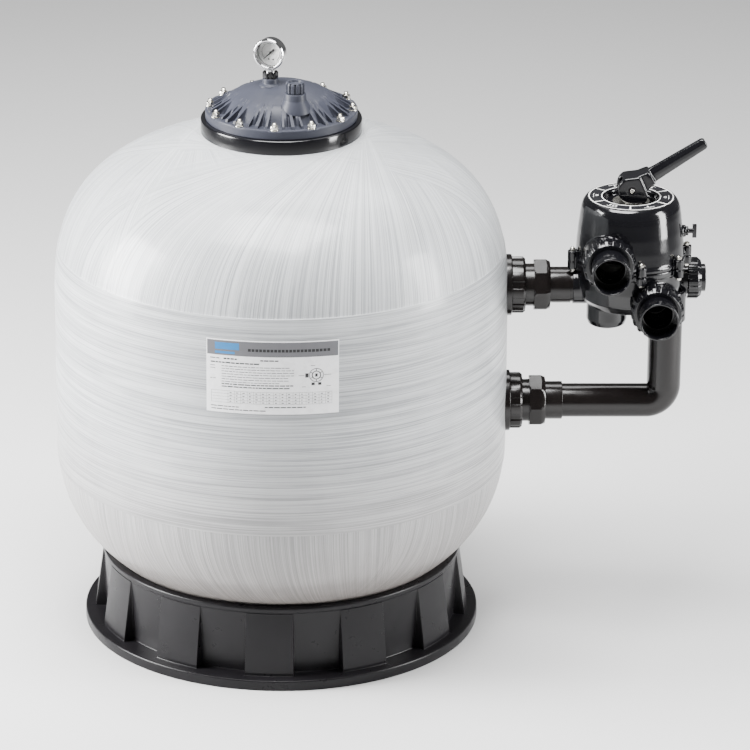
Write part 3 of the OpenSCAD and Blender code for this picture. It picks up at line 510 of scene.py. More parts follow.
def tank():
    """The shell with its wall, the hoop-wound band's two steps and the holes for its fittings."""
    steps, inner_steps = 64, 30
    join = math.acos(((CROWN_JOIN_R - HOOP_STEP) / (TANK_R - HOOP_STEP)) ** (CROWN_POWER / 2))
    join_in = math.acos(((CROWN_JOIN_R - WALL) / (TANK_R - WALL)) ** (CROWN_POWER / 2))
    quarter = math.pi / 2
    outer = [dish_point(quarter * (1 - i / steps) ** 1.2, HOOP_STEP) for i in range(steps + 1)]
    outer = [p for p in outer if p[1] < HOOP_LOW - 0.0012]
    outer.append((dish_radius(HOOP_LOW - 0.0006) - HOOP_STEP, HOOP_LOW - 0.0006))
    outer.append((dish_radius(HOOP_LOW + 0.0004), HOOP_LOW + 0.0004))
    for z in (0.334, 0.342, 0.351):
        outer.append((dish_radius(z), z))
    outer += [(TANK_R, lerp(BAND_LOW, BAND_HIGH, k / 24)) for k in range(25)]
    crown = [join * (i / steps) ** 1.4 for i in range(1, steps + 1)]
    outer += [p for p in (crown_point(a) for a in crown) if p[1] < HOOP_HIGH - 0.001]
    edge = TANK_R * (1 - ((HOOP_HIGH - BAND_HIGH) / CROWN_RISE) ** CROWN_POWER) ** (1 / CROWN_POWER)
    outer.append((edge, HOOP_HIGH - 0.0004))
    outer.append((edge - HOOP_STEP, HOOP_HIGH + 0.0006))
    outer += [p for p in (crown_point(a, HOOP_STEP) for a in crown) if p[1] > HOOP_HIGH + 0.0012]
    # The straight cone up to the neck
    last_r, last_z = outer[-1]
    slope = (NECK_BED_Z - last_z) / (last_r - NECK_BED_R)
    for k in range(1, 13):
        r = lerp(last_r, NECK_OPEN_R, k / 12)
        outer.append((r, NECK_BED_Z + (NECK_BED_R - r) * slope))
    inner = [(NECK_OPEN_R, outer[-1][1] - WALL)]
    inner += [crown_point(join_in * (i / inner_steps) ** 1.4, WALL) for i in range(inner_steps, -1, -1)]
    inner += [dish_point(quarter * (i / inner_steps) ** 1.2, WALL) for i in range(inner_steps + 1)]
    outer[0] = (0.0, outer[0][1])
    inner[-1] = (0.0, inner[-1][1])

    skin = lathe("tank_skin", outer + inner, steps=360, crease=20)
    for name, node, axis, radius in (("cut_upper", "upper_bulkhead", "x", PORT_HOLE_R),
                                     ("cut_lower", "lower_bulkhead", "x", PORT_HOLE_R),
                                     ("cut_drain", "drain_fitting", "back", DRAIN_HOLE_R)):
        place, _, _ = place_of(node, axis)
        cutter = lathe(name, [(0, -0.05), (radius, -0.05), (radius, 0.25), (0, 0.25)], place, 48)
        cut = skin.modifiers.new(name, "BOOLEAN")
        cut.operation = "DIFFERENCE"
        cut.solver = "EXACT"
        cut.object = cutter
        apply_modifiers(skin)
        bpy.data.objects.remove(cutter)
    skin.data.shade_smooth()
    skin.data.set_sharp_from_angle(angle=math.radians(24))
    add(skin, "root", "wound_shell", "tank_shell")


# ---------------------------------------------------------------- base

PANELS = 12
PANEL_FIRST = math.radians(-101.25)
FLANGE_H = 0.020
SKIRT_FOOT_R, RIM_R = 0.331, 0.335
PANEL_RAISE = 0.019


def base():
    """The skirt: a flange, a leaning wall with every second panel raised, and the seat for the dish."""
    _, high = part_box("base_skirt")
    foot_r, base_h = high.x, high.z
    panel_top = base_h - 0.012
    seat_r = dish_radius(base_h)
    seat_low_z = 0.118
    seat_low_r = dish_radius(seat_low_z)
    outline = rounded([
        (0, 0), (foot_r, 0, 0.0015), (foot_r, FLANGE_H, 0.0035), (SKIRT_FOOT_R, FLANGE_H, 0.002),
        (RIM_R, panel_top, 0.002), (RIM_R + 0.002, base_h - 0.008, 0.002), (RIM_R + 0.002, base_h, 0.003),
        (seat_r, base_h, 0.001), (seat_low_r, seat_low_z), (seat_low_r, seat_low_z - 0.007),
        (RIM_R - 0.008, seat_low_z - 0.012), (SKIRT_FOOT_R - 0.007, 0.006), (0, 0.006)])
    # Points up the skirt, so that the panels' slope and foot step come out
    finer = []
    for i, (r, z) in enumerate(outline):
        finer.append((r, z))
        r2, z2 = outline[(i + 1) % len(outline)]
        if abs(r - SKIRT_FOOT_R) < 0.004 and z2 - z > 0.08:
            for t in (0.01, 0.03, 0.045, 0.06, 0.08, 0.2, 0.4, 0.6, 0.8, 0.9, 0.97):
                finer.append((lerp(r, r2, t), lerp(z, z2, t)))
    step = TURN / PANELS
    side = 0.0022 / SKIRT_FOOT_R

    def panel(angle):
        """1 on a raised panel, 0 between them."""
        phase = (angle - PANEL_FIRST) % step
        if phase < step / 2:
            return smoothstep(min(phase, step / 2 - phase) / side + 0.5)
        return smoothstep(-min(phase - step / 2, step - phase) / side + 0.5)

    def shape(angle, r, z):
        on_wall = SKIRT_FOOT_R - 0.003 < r < RIM_R + 0.0025 and FLANGE_H - 0.0005 < z < panel_top
        if not on_wall:
            return r
        up = max(0.0, (z - FLANGE_H - 0.006) / (panel_top - FLANGE_H - 0.006))
        reach = PANEL_RAISE * (1 - up) + 0.001
        return r + reach * panel(angle)

    angles = []
    fine = (-1.6, -1.0, -0.62, -0.5, -0.36, -0.22, -0.08, 0.08, 0.22, 0.36, 0.5, 0.62, 1.0, 1.6)
    for i in range(PANELS * 2):
        edge = PANEL_FIRST + step / 2 * i
        angles += [edge + side * f for f in fine]
        angles += [edge + step / 2 * f for f in (0.15, 0.3, 0.45, 0.6, 0.75, 0.9)]
    angles.sort()
    moulding = lathe("base_moulding", finer, shape=shape, angles=angles, crease=38)
    add(moulding, "root", "base_plastic", "base_skirt")


# ---------------------------------------------------------------- label

LABEL_TURN = math.radians(32.6)
LABEL_START = math.radians(-108.5)
FILM_T = 0.00045
INK_T = 0.00012


def curved_boxes(name, boxes, inner_r, thick, body_z):
    """Thin boxes bent round the tank. Each is (u0, v0, u1, v1) in mm from the label's lower left corner."""
    bm = bmesh.new()
    for u0, v0, u1, v1 in boxes:
        steps = max(1, round((u1 - u0) / 6))
        grid = []
        for i in range(steps + 1):
            u = lerp(u0, u1, i / steps) * MM
            a = LABEL_START + u / TANK_R
            for v in (v0, v1):
                for r in (inner_r, inner_r + thick):
                    grid.append(bm.verts.new((r * math.cos(a), r * math.sin(a), body_z + v * MM)))
        for i in range(steps):
            b, c = 4 * i, 4 * i + 4
            for one, two in ((0, 1), (1, 3), (3, 2), (2, 0)):
                bm.faces.new((grid[b + one], grid[b + two], grid[c + two], grid[c + one]))
        bm.faces.new((grid[0], grid[1], grid[3], grid[2]))
        e = 4 * steps
        bm.faces.new((grid[e], grid[e + 2], grid[e + 3], grid[e + 1]))
    return mesh_object(name, bm, 30)


def label_lines(rng, tall):
    """Rows of short bars, as lettering looks from afar, where the label has its text."""
    marks = []

    def words(u0, u1, v, height, word=(4, 11), gap=1.3):
        u = u0
        while u < u1 - word[0]:
            end = min(u + rng.uniform(*word), u1)
            marks.append((u, v, end, v + height))
            u = end + gap

    words(76, 226, tall - 20.5, 5.2, (5, 5.6), 1.5)
    words(7, 24, 102, 1.6)
    words(32, 56, 101.5, 2.6)
    words(98, 132, 101, 2.2)
    words(8, 100, 94, 2.4)
    for row in range(9):
        v = 88 - 4.9 * row
        if row in (0, 1, 5):
            words(7, 18, v, 1.1)
        words(28, rng.choice((118, 150, 158, 132)), v, 2.0 if row > 6 else 1.1)
    words(8, 62, 11, 1.6)
    words(106, 182, 12.5, 1.9)
    words(9, 112, 5.5, 1.6)
    return marks


def label_table(rng, wide):
    """A grid with a short bar in each cell."""
    marks = [(9, 19 + 5.6 * row, wide - 13, 19.35 + 5.6 * row) for row in range(5)]
    for col in range(18):
        u = 9 + (wide - 22) * (0.14 + 0.86 * (col - 1) / 16 if col else 0)
        marks.append((u, 19, u + 0.35, 41.4))
        if 0 < col < 17:
            for row in range(4):
                size = rng.uniform(2.2, 4.2)
                marks.append((u + 3.2, 21 + 5.6 * row, u + 3.2 + size, 22.4 + 5.6 * row))
    return marks


def label_drawing():
    """A plain round drawing with six spokes, three ports and five leader lines."""
    middle_u, middle_v = 198, 74
    # Each row is (u0, v0, u1, v1) from the drawing's middle
    marks = []
    for k in range(40):
        a = TURN * k / 40
        for radius in (12.5, 7.5):
            u, v = radius * math.cos(a), radius * math.sin(a)
            marks.append((u - 0.9, v - 0.6, u + 0.9, v + 0.6))
    for k in range(6):
        a = TURN * (k + 0.5) / 6
        for reach in (8.7, 9.9, 11.1):
            u, v = reach * math.cos(a), reach * math.sin(a)
            marks.append((u - 0.6, v - 0.6, u + 0.6, v + 0.6))
    marks += [(-2.2, -3, 2.2, 3), (-9, -19, -3, -14), (3, -19, 9, -14), (-20, -4, -14, 4),
              (-32, -0.4, -22, 0.4), (14, -0.4, 27, 0.4), (-26, -22, -19, -21.2),
              (18, -22, 26, -21.2), (-10, 18, -2, 18.8)]
    return [(middle_u + u0, middle_v + v0, middle_u + u1, middle_v + v1) for u0, v0, u1, v1 in marks]


def label():
    """A white data label with plain bars, a grid and a small drawing in place of lettering."""
    low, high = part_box("name_label")
    base_z, tall = low.z, (high.z - low.z) / MM
    wide = LABEL_TURN * TANK_R / MM
    film = curved_boxes("label_film", [(0, 0, wide, tall)], TANK_R, FILM_T, base_z)
    add(film, "root", "label_film", "name_label")
    ink_r = TANK_R + FILM_T
    head = curved_boxes("label_head", [(1.5, tall - 30, wide - 1.5, tall - 2)], ink_r, INK_T / 2, base_z)
    add(head, "root", "label_film", material="label_grey")
    rng = random.Random(7)
    marks = label_lines(rng, tall) + label_table(rng, wide) + label_drawing()
    ink = curved_boxes("label_ink", marks, ink_r + INK_T / 2, INK_T / 2, base_z)
    add(ink, "root", "label_film", material="label_ink")
    blocks = [(16, tall - 27, 52, tall - 22.5), (16, tall - 19, 60, tall - 6)]
    accent = curved_boxes("label_accent", blocks, ink_r + INK_T / 2, INK_T / 2, base_z)
    add(accent, "root", "label_film", material="label_blue")


# ---------------------------------------------------------------- neck, lid and its fasteners

def neck():
    """The black ring between the tank's dome and the lid."""
    low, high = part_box("neck_flange")
    r, top = high.x, high.z
    bed = NECK_BED_Z - 0.0035
    outline = rounded([
        (0.112, low.z, 0.001), (NECK_OPEN_R - 0.0004, low.z, 0.001), (NECK_OPEN_R - 0.0004, bed + 0.006),
        (r - 0.001, bed, 0.0005), (r, bed + 0.004, 0.001), (r, top, 0.003), (0.112, top, 0.001)])
    add(lathe("neck_ring", outline, steps=192), "root", "valve_plastic", "neck_flange")


BOLT_COUNT = 12
BOLT_PHASE = math.radians(-95.5)
BOLT_CIRCLE = 0.131


def bolt_places():
    """A matrix at the floor's height for each lid bolt, each turned by its own amount."""
    for i in range(BOLT_COUNT):
        a = BOLT_PHASE + TURN * i / BOLT_COUNT
        spin = Matrix.Rotation(a + 1.7 * i, 4, "Z")
        yield Matrix.Translation((BOLT_CIRCLE * math.cos(a), BOLT_CIRCLE * math.sin(a), 0)) @ spin


def threaded(r, length, pitch=0.00125, depth=0.0005, tip=0.0008):
    """Outline of a threaded rod: a thread as rings, with a chamfered tip."""
    outline = [(0, 0)]
    for k in range(int((length - tip) / pitch)):
        outline += [(r, pitch * k), (r - depth, pitch * (k + 0.5))]
    return outline + [(r, length - tip), (r - tip, length), (0, length)]


def hex_outline(corner, bore, height):
    """A nut with chamfered corners and bore."""
    c = 0.12 * corner
    return [(bore + 0.0004, 0), (corner - c, 0), (corner, c * 0.6), (corner, height - c * 0.6),
            (corner - c, height), (bore + 0.0006, height), (bore, height - 0.0006), (bore, 0.0004)]


LID_TOP_Z = 1.053
DOME_EDGE_R = 0.110
DOME_EDGE_RISE = 0.014
LID_WALL = 0.007
BIG_RIB, SMALL_RIB = 1.35, 0.95         # half widths of the gussets in degrees
SMALL_RIB_AT = 8.0                      # degrees from a big gusset to the small one next to it


def lid_outline():
    """Gives the function that draws the lid's outline at each angle."""
    seal_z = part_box("lid")[0].z
    flange_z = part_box("lid_washers")[0].z
    rim_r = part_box("lid")[1].x
    fall = LID_TOP_Z - flange_z - DOME_EDGE_RISE

    def dome(r):
        return LID_TOP_Z - fall * (r / DOME_EDGE_R) ** 2

    def pocket(r):
        start = 0.079
        if r <= start:
            return dome(r)
        return dome(start) - (dome(start) - flange_z) * ((r - start) / (DOME_EDGE_R - start)) ** 1.7

    def lobe(r):
        if r < 0.104:
            return dome(r)
        return lerp(dome(0.104), flange_z, min(1.0, (r - 0.104) / 0.012) ** 1.4)

    def ridge(r, start, end, foot):
        if not start < r < end:
            return 0
        return lerp(dome(start), flange_z + foot, (r - start) / (end - start))

    def top(off, r):
        near_rib = smoothstep((off - 1.2) / 0.5) * (1 - smoothstep((off - 3.2) / 1.6))
        near_bolt = smoothstep((off - SMALL_RIB_AT - 0.8) / 1.2)
        z = lerp(lobe(r), max(pocket(r), flange_z), max(near_rib, near_bolt))
        z = max(z, flange_z)
        if off < BIG_RIB:
            z = max(z, ridge(r, 0.077, 0.130, 0.004))
        if abs(off - SMALL_RIB_AT) < SMALL_RIB:
            z = max(z, ridge(r, 0.095, 0.128, 0.003))
        if r > 0.1335:
            z += 0.0012 * (1 - smoothstep((off - 9.5) / 1.0))
        return z

    radii = [0, 0.015, 0.03, 0.045, 0.058, 0.068, 0.0745, 0.0768, 0.0775, 0.080] + [
        0.083 + 0.0025 * i for i in range(20)] + [0.1303, 0.1325, 0.1338, 0.1370]

    def outline(angle):
        # Degrees from the nearest big gusset, which stands midway between two bolts
        off = abs((math.degrees(angle - BOLT_PHASE) % 30) - 15)
        out = [(r, top(off, r)) for r in radii]
        last = top(off, 0.137)
        out += [(rim_r - 0.0008, last - 0.0006), (rim_r, last - 0.0020), (rim_r, seal_z + 0.0012),
                (rim_r - 0.001, seal_z), (0.1035, seal_z), (0.1034, dome(DOME_EDGE_R) - LID_WALL)]
        out += [(0.94 * r, dome(r) - LID_WALL) for r in (0.095, 0.075, 0.05, 0.025)]
        return out + [(0, LID_TOP_Z - LID_WALL)]

    return outline


def lid_dome():
    """The lid as one moulding: a dome with scalloped pockets between gussets, on a lipped flange."""
    # Degrees from a big gusset at which the outline is drawn, close together where it changes fast
    part = [0, 0.6, 1.2, 1.34, 1.36, 1.8, 2.4, 3.0, 3.7, 4.6, 5.6, 6.4, 7.0, 7.04, 7.06, 8.0, 8.94, 8.96,
            9.3, 10, 10.8, 12, 13.5, 15]
    turns = sorted(set(part + [-d for d in part[1:-1]]))
    angles = [BOLT_PHASE + math.radians(15 + 30 * i + d) for i in range(BOLT_COUNT) for d in turns]
    cap = lathe("lid_cap", lid_outline(), angles=angles, crease=28)
    boss_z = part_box("lid")[1].z
    gauge_boss = rounded([(0, 1.044), (0.021, 1.044), (0.0205, 1.0503), (0.0147, 1.0535, 0.003),
                          (0.0145, boss_z, 0.0014), (0, boss_z)], 6)
    bleed_boss = rounded([(0, 1.020), (0.030, 1.020), (0.027, 1.0300), (0.0205, 1.0420, 0.006),
                          (0.0195, 1.0547, 0.0015), (0.012, 1.0547), (0, 1.0547)], 6)
    pieces = [cap]
    for name, boss, node in (("boss_a", gauge_boss, "gauge_adapter"), ("boss_b", bleed_boss, "bleed_knob")):
        low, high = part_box(node)
        middle = Matrix.Translation(((low.x + high.x) / 2, (low.y + high.y) / 2, 0))
        pieces.append(lathe(name, boss, middle))
    return joined("lid_moulding", pieces, 28)


def lid():
    """The lid moulding with its studs, nuts and washers."""
    add(lid_dome(), "root", "lid_plastic", "lid")
    low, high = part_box("lid_studs")
    rods, nuts, washers = [], [], []
    nut_low, nut_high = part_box("lid_nuts")
    washer_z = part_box("lid_washers")[0].z
    washer = rounded([(0.0043, 0), (0.0082, 0, 0.0003), (0.0082, 0.0016, 0.0004),
                      (0.0043, 0.0016, 0.0003)], 2)
    for i, place in enumerate(bolt_places()):
        up = Matrix.Translation((0, 0, low.z))
        rods.append(lathe(f"rod{i}", threaded(0.004, high.z - low.z), up @ place, 20))
        up = Matrix.Translation((0, 0, nut_low.z))
        nuts.append(lathe(f"nut{i}", hex_outline(0.0075, 0.0041, nut_high.z - nut_low.z), up @ place, 48,
                          many_sided(6, 0.0065, 0.005)))
        up = Matrix.Translation((0, 0, washer_z))
        washers.append(lathe(f"washer{i}", washer, up @ place, 32))
    add(joined("lid_stud_rods", rods), "root", "zinc_steel", "lid_studs")
    add(joined("lid_hex_nuts", nuts), "root", "zinc_steel", "lid_nuts")
    add(joined("lid_round_washers", washers), "root", "zinc_steel", "lid_washers")


def bleed():
    """The bleed knob, a grooved cap over a narrower stem."""
    place, length, _ = place_of("bleed_knob", "up")
    r = 0.0160
    skirt = length - 0.020
    outline = rounded([
        (0, 0), (0.0088, 0, 0.001), (0.0088, skirt), (r, skirt, 0.0006), (r + 0.0015, skirt + 0.001, 0.0006),
        (r + 0.0015, length - 0.004, 0.001), (r - 0.0005, length, 0.0012), (0.0125, length, 0.0012),
        (0.0110, length - 0.0045, 0.001), (0, length - 0.0045)])
    add(lathe("bleed_cap", outline, place, 288, ribbed(12, 0.0022, r - 0.0003, 0.5, 0.3)),
        "bleed_screw", "lid_plastic", "bleed_knob")


# ---------------------------------------------------------------- gauge

# The dial's own frame: its middle is on the needle's axis, and +Z looks out of it
GAUGE_FACE = (Matrix.Translation(Vector(JOINT["needle_swing"]["pos_m"]))
              @ Matrix.Rotation(math.radians(-20), 4, "Z") @ QUARTER_X)
CASE_R, CASE_FRONT = 0.0275, 0.009
DIAL_Z = -0.003
SCALE_START = 225                       # where the scale and the resting needle begin, in degrees


def gauge():
    """The can with its bezel and window, the dial, the needle and the adapter."""
    low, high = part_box("gauge_bezel")
    bezel_r = (high.z - low.z) / 2
    front, lens_r = CASE_FRONT, bezel_r - 0.0037
    case = rounded([(0, -0.013), (CASE_R, -0.013, 0.003), (CASE_R, front - 0.0026),
                    (CASE_R - 0.002, front - 0.0026), (CASE_R - 0.002, -0.011), (0, -0.011)])
    add(lathe("gauge_can", case, GAUGE_FACE, 128), "root", "gauge_steel", "gauge_case")
    bezel = rounded([
        (CASE_R, front - 0.0025, 0.0003), (bezel_r - 0.0005, front - 0.0025, 0.0008),
        (bezel_r, front + 0.001, 0.002), (bezel_r - 0.0018, front + 0.0045, 0.0022),
        (bezel_r - 0.0048, front + 0.0042, 0.0016), (bezel_r - 0.006, front + 0.002, 0.0004),
        (bezel_r - 0.0035, front + 0.002), (bezel_r - 0.0035, front), (CASE_R, front)], 5)
    add(lathe("gauge_rim", bezel, GAUGE_FACE, 160), "root", "gauge_steel", "gauge_bezel")
    lens = rounded([(0, front), (lens_r, front, 0.0003), (lens_r, front + 0.0019, 0.0003),
                    (0, front + 0.0019)], 2)
    add(lathe("gauge_window", lens, GAUGE_FACE, 96), "root", "gauge_glass", "gauge_lens")
    dial = rounded([(0.0016, DIAL_Z - 0.001), (0.0250, DIAL_Z - 0.001), (0.0250, DIAL_Z, 0.0003),
                    (0.0016, DIAL_Z, 0.0002)], 2)
    add(lathe("gauge_face", dial, GAUGE_FACE, 96), "root", "dial_white", "gauge_dial")
    gauge_print()
    gauge_needle()
    place, length, _ = place_of("gauge_adapter", "up")
    hex_low = length - 0.012
    thread = rounded([(0.006, 0), (0.0078, 0, 0.0006), (0.0078, hex_low), (0.0125, hex_low, 0.0006),
                      (0.0145, hex_low + 0.0012), (0.0145, length - 0.0012), (0.0128, length, 0.0006),
                      (0.0064, length, 0.0004), (0.006, length - 0.001)], 3)
    add(lathe("gauge_hex_adapter", thread, place, 96, many_sided(6, 0.01275, 0.009)),
        "root", "fitting_plastic", "gauge_adapter", material="valve_plastic")


def gauge_print():
    """A two-part scale arc with 31 marks over 270 degrees, and two screw spots below."""
    ink = (DIAL_Z, DIAL_Z + 0.00008)
    marks, scale = bmesh.new(), bmesh.new()
    arc_box(scale, GAUGE_FACE, (0.0168, 0.0178), (-45, 110), ink, 48)
    arc_box(marks, GAUGE_FACE, (0.0171, 0.0175), (110, SCALE_START), ink, 36)
    for k in range(31):
        angle = SCALE_START - 9 * k
        half, far = (1.0, 0.0205) if k % 5 == 0 else (0.5, 0.0192)
        arc_box(marks, GAUGE_FACE, (0.0178, far), (angle - half, angle + half), ink)
    for across in (-0.0042, 0.0042):
        low, high = ([GAUGE_FACE @ Vector((across + 0.0016 * math.cos(TURN * k / 24),
                                           -0.0132 + 0.0016 * math.sin(TURN * k / 24), z))
                      for k in range(24)] for z in ink)
        prism(marks, low, high)
    add(mesh_object("gauge_marks", marks, 30), "root", "dial_white", material="needle_black")
    add(mesh_object("gauge_scale_arc", scale, 30), "root", "dial_white", material="label_grey")


def gauge_needle():
    """A tapered pointer with a wide tail on a domed hub."""
    rest = Matrix.Rotation(math.radians(SCALE_START), 4, "Z")
    half = [(0.0195, 0.0004), (0.002, 0.0014), (-0.0035, 0.0013), (-0.0065, 0.0024), (-0.0095, 0.0020)]
    loop = half + [(x, -y) for x, y in reversed(half)]
    low, high = ([GAUGE_FACE @ rest @ Vector((x, y, z)) for x, y in loop] for z in (-0.0014, -0.0007))
    bm = bmesh.new()
    prism(bm, low, high)
    hub = rounded([(0, -0.006), (0.0015, -0.006), (0.0015, -0.0015), (0.0024, -0.0015, 0.0002),
                   (0.0024, 0.0002, 0.0006), (0.001, 0.0005), (0, 0.0005)], 3)
    pieces = [mesh_object("pointer", bm, 30), lathe("hub", hub, GAUGE_FACE, 32)]
    add(joined("gauge_pointer", pieces), "needle", "needle_black", "gauge_needle")


# ---------------------------------------------------------------- tank ports and the link pipe

PIPE_R, TAIL_BORE = 0.0315, 0.027
COLLAR_R = 0.0385                       # flange that the union nut holds


def port_side():
    """Locknuts, saddles, union nuts and tails, from the tank's wall to the valve and the link pipe."""
    saddle_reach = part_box("port_saddles")[1].x - (TANK_R - 0.012)
    disc = rounded([(0.0396, -saddle_reach), (0.057, -saddle_reach), (0.057, 0, 0.0018), (0.0396, 0)])
    discs = []
    for name in ("upper", "lower"):
        place, length, _ = place_of(f"{name}_locknut", "x")
        # A ribbed ring with a chamfered far edge
        ring = rounded([(0.0396, 0, 0.0008), (0.0525, 0, 0.0008), (0.0525, length - 0.0045, 0.0012),
                        (0.0488, length, 0.0012), (0.0396, length, 0.0008)])
        add(lathe(f"{name}_lock_ring", ring, place, 360, ribbed(10, 0.0022, 0.045, 0.55, 0.10)),
            "root", "fitting_plastic", f"{name}_locknut")
        discs.append(lathe(f"disc_{name}", disc, place, 128))
    add(joined("port_saddle_discs", discs), "root", "fitting_plastic", "port_saddles")
    for name, tail_r, collar in (("upper", 0.0335, 0.022), ("lower", 0.0355, 0.023)):
        place, length, _ = place_of(f"{name}_union_nut", "x")
        lip = tail_r + 0.0003
        ring = rounded([(0.0397, 0, 0.0008), (0.0475, 0, 0.001), (0.050, 0.003, 0.001),
                        (0.050, length - 0.008, 0.002), (0.0435, length, 0.0015), (lip, length, 0.0006),
                        (lip, collar), (0.0397, collar)])
        add(lathe(f"{name}_union_ring", ring, place, 384, many_sided(8, 0.0462, 0.0425)),
            "root", "fitting_plastic", f"{name}_union_nut")
    flange = [(COLLAR_R, 0, 0.0006), (COLLAR_R, 0.006, 0.0006)]
    place, length, _ = place_of("upper_union_tail", "x")
    step = length - 0.024
    tail = rounded([(TAIL_BORE, 0), *flange, (0.0335, 0.006), (0.0335, step, 0.001), (PIPE_R, step),
                    (PIPE_R, length, 0.0006), (TAIL_BORE, length, 0.0004)])
    add(lathe("upper_tail_pipe", tail, place, 128), "root", "fitting_plastic", "upper_union_tail")
    place, length, _ = place_of("lower_union_tail", "x")
    socket_r = PIPE_R + 0.0001
    tail = rounded([(TAIL_BORE, 0), *flange, (0.0355, 0.006), (0.0355, length, 0.0012),
                    (socket_r, length, 0.0006), (socket_r, 0.012), (TAIL_BORE, 0.012)])
    add(lathe("lower_tail_socket", tail, place, 128), "root", "fitting_plastic", "lower_union_tail")


def link():
    """The moulded pipe with its bend, from the lower port up to the valve."""
    low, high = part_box("link_pipe")
    pipe_r = (high.y - low.y) / 2
    bore = pipe_r - 0.0045
    x_end, z_low, bend = high.x - pipe_r, low.z + pipe_r, 0.033
    path = [Vector((lerp(low.x, x_end - bend, k / 20), 0, z_low)) for k in range(20)]
    for k in range(25):
        a = math.pi / 2 * k / 24
        path.append(Vector((x_end - bend + bend * math.sin(a), 0, z_low + bend - bend * math.cos(a))))
    path += [Vector((x_end, 0, lerp(z_low + bend, high.z, k / 12))) for k in range(1, 13)]
    # The pipe wall: out along the outside and back along the bore
    bm = bmesh.new()
    rings = []
    sides = 72
    y_axis = Vector((0, 1, 0))
    for radius, points in ((pipe_r, path), (bore, path[::-1])):
        for i, p in enumerate(points):
            ahead = (points[min(i + 1, len(points) - 1)] - points[max(i - 1, 0)]).normalized()
            ahead = ahead if radius == pipe_r else -ahead
            side = y_axis.cross(ahead).normalized()
            rings.append([bm.verts.new(p + radius * (y_axis * math.cos(TURN * k / sides)
                          + side * math.sin(TURN * k / sides))) for k in range(sides)])
    for i in range(len(rings)):
        one, two = rings[i], rings[(i + 1) % len(rings)]
        for k in range(sides):
            m = (k + 1) % sides
            bm.faces.new((one[k], one[m], two[m], two[k]))
    pipe = mesh_object("pipe", bm, 40)
    # Mould gate on the inside of the bend, facing the front
    gate_at = Vector((x_end - bend * 0.62, -0.0250, z_low + bend * 0.95))
    outward = Vector((-0.25, -0.9, 0.35)).normalized()
    turn = Vector((0, 0, 1)).rotation_difference(outward).to_matrix().to_4x4()
    knob = rounded([(0, -0.004), (0.0032, -0.004), (0.0032, 0.0008, 0.0005), (0.0022, 0.0011, 0.0003),
                    (0, 0.0007)], 3)
    gate = lathe("gate", knob, Matrix.Translation(gate_at) @ turn, 24)
    add(joined("link_tube", [pipe, gate], 40), "root", "fitting_plastic", "link_pipe")


# ---------------------------------------------------------------- valve

def valve():
    """The bowl and the cover, the index plate, the wing plug, the cover bolts and the unions."""
    add(moulded("valve_bowl", "valve_body", 0.0012, 8), "root", "valve_plastic", "valve_body")
    add(moulded("valve_dome", "valve_cover", 0.0012, 8), "root", "valve_plastic", "valve_cover")
    low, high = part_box("index_plate")
    mid = (low + high) / 2
    place = Matrix.Translation((mid.x, mid.y, low.z))
    thick, r_out, r_in = high.z - low.z, 0.0804, 0.0522
    ring = rounded([(r_in, 0), (r_out, 0), (r_out, thick, 0.0003), (r_in, thick, 0.0003)], 2)
    add(lathe("index_ring", ring, place, 192), "root", "dial_plate", "index_plate")
    dial_print(place @ Matrix.Translation((0, 0, thick)))
    # Wing plug in the cover's gauge port
    place, _, _ = place_of("gauge_port_plug", "x")
    stem = rounded([(0, 0), (0.005, 0), (0.005, 0.012), (0.0085, 0.012, 0.0006), (0.0085, 0.0165, 0.001),
                    (0.0045, 0.0165, 0.0006), (0.0045, 0.026), (0, 0.026)], 3)
    plug = lathe("plug_stem", stem, place, 48)
    bm = bmesh.new()
    wing_size = Matrix.Diagonal((0.026, 0.005, 0.008, 1))
    bmesh.ops.create_cube(bm, size=1.0, matrix=place @ Matrix.Translation((0, 0, 0.028)) @ wing_size)
    bmesh.ops.bevel(bm, geom=bm.edges[:], offset=0.0012, segments=3, affect="EDGES", profile=0.6)
    wing = mesh_object("plug_wing", bm, 50)
    add(joined("wing_plug", [plug, wing]), "root", "valve_plastic", "gauge_port_plug")
    bolts()
    unions()


def dial_print(place):
    """White rings, dividers and plain position marks on the index plate."""
    ink = (0, 0.00012)
    bm = bmesh.new()
    arc_box(bm, place, (0.0768, 0.0788), (0, 360), ink, 144)
    arc_box(bm, place, (0.0532, 0.0550), (0, 360), ink, 120)
    for k in range(6):
        divider = 60 * k - 95
        arc_box(bm, place, (0.0556, 0.0762), (divider - 0.95, divider + 0.95), ink, 2)
        # A plain mark for each position: a bar and one to three short strokes
        centre = divider + 30
        arc_box(bm, place, (0.0690, 0.0700), (centre - 9, centre + 9), ink, 10)
        strokes = k % 3 + 1
        for m in range(strokes):
            at = centre + 5.5 * (m - (strokes - 1) / 2)
            arc_box(bm, place, (0.0605, 0.0655), (at - 1.2, at + 1.2), ink)
    add(mesh_object("index_lines", bm, 30), "root", "dial_plate", material="dial_lines")


LUG_CIRCLE = 0.108
LUG_FIRST = math.radians(-82)


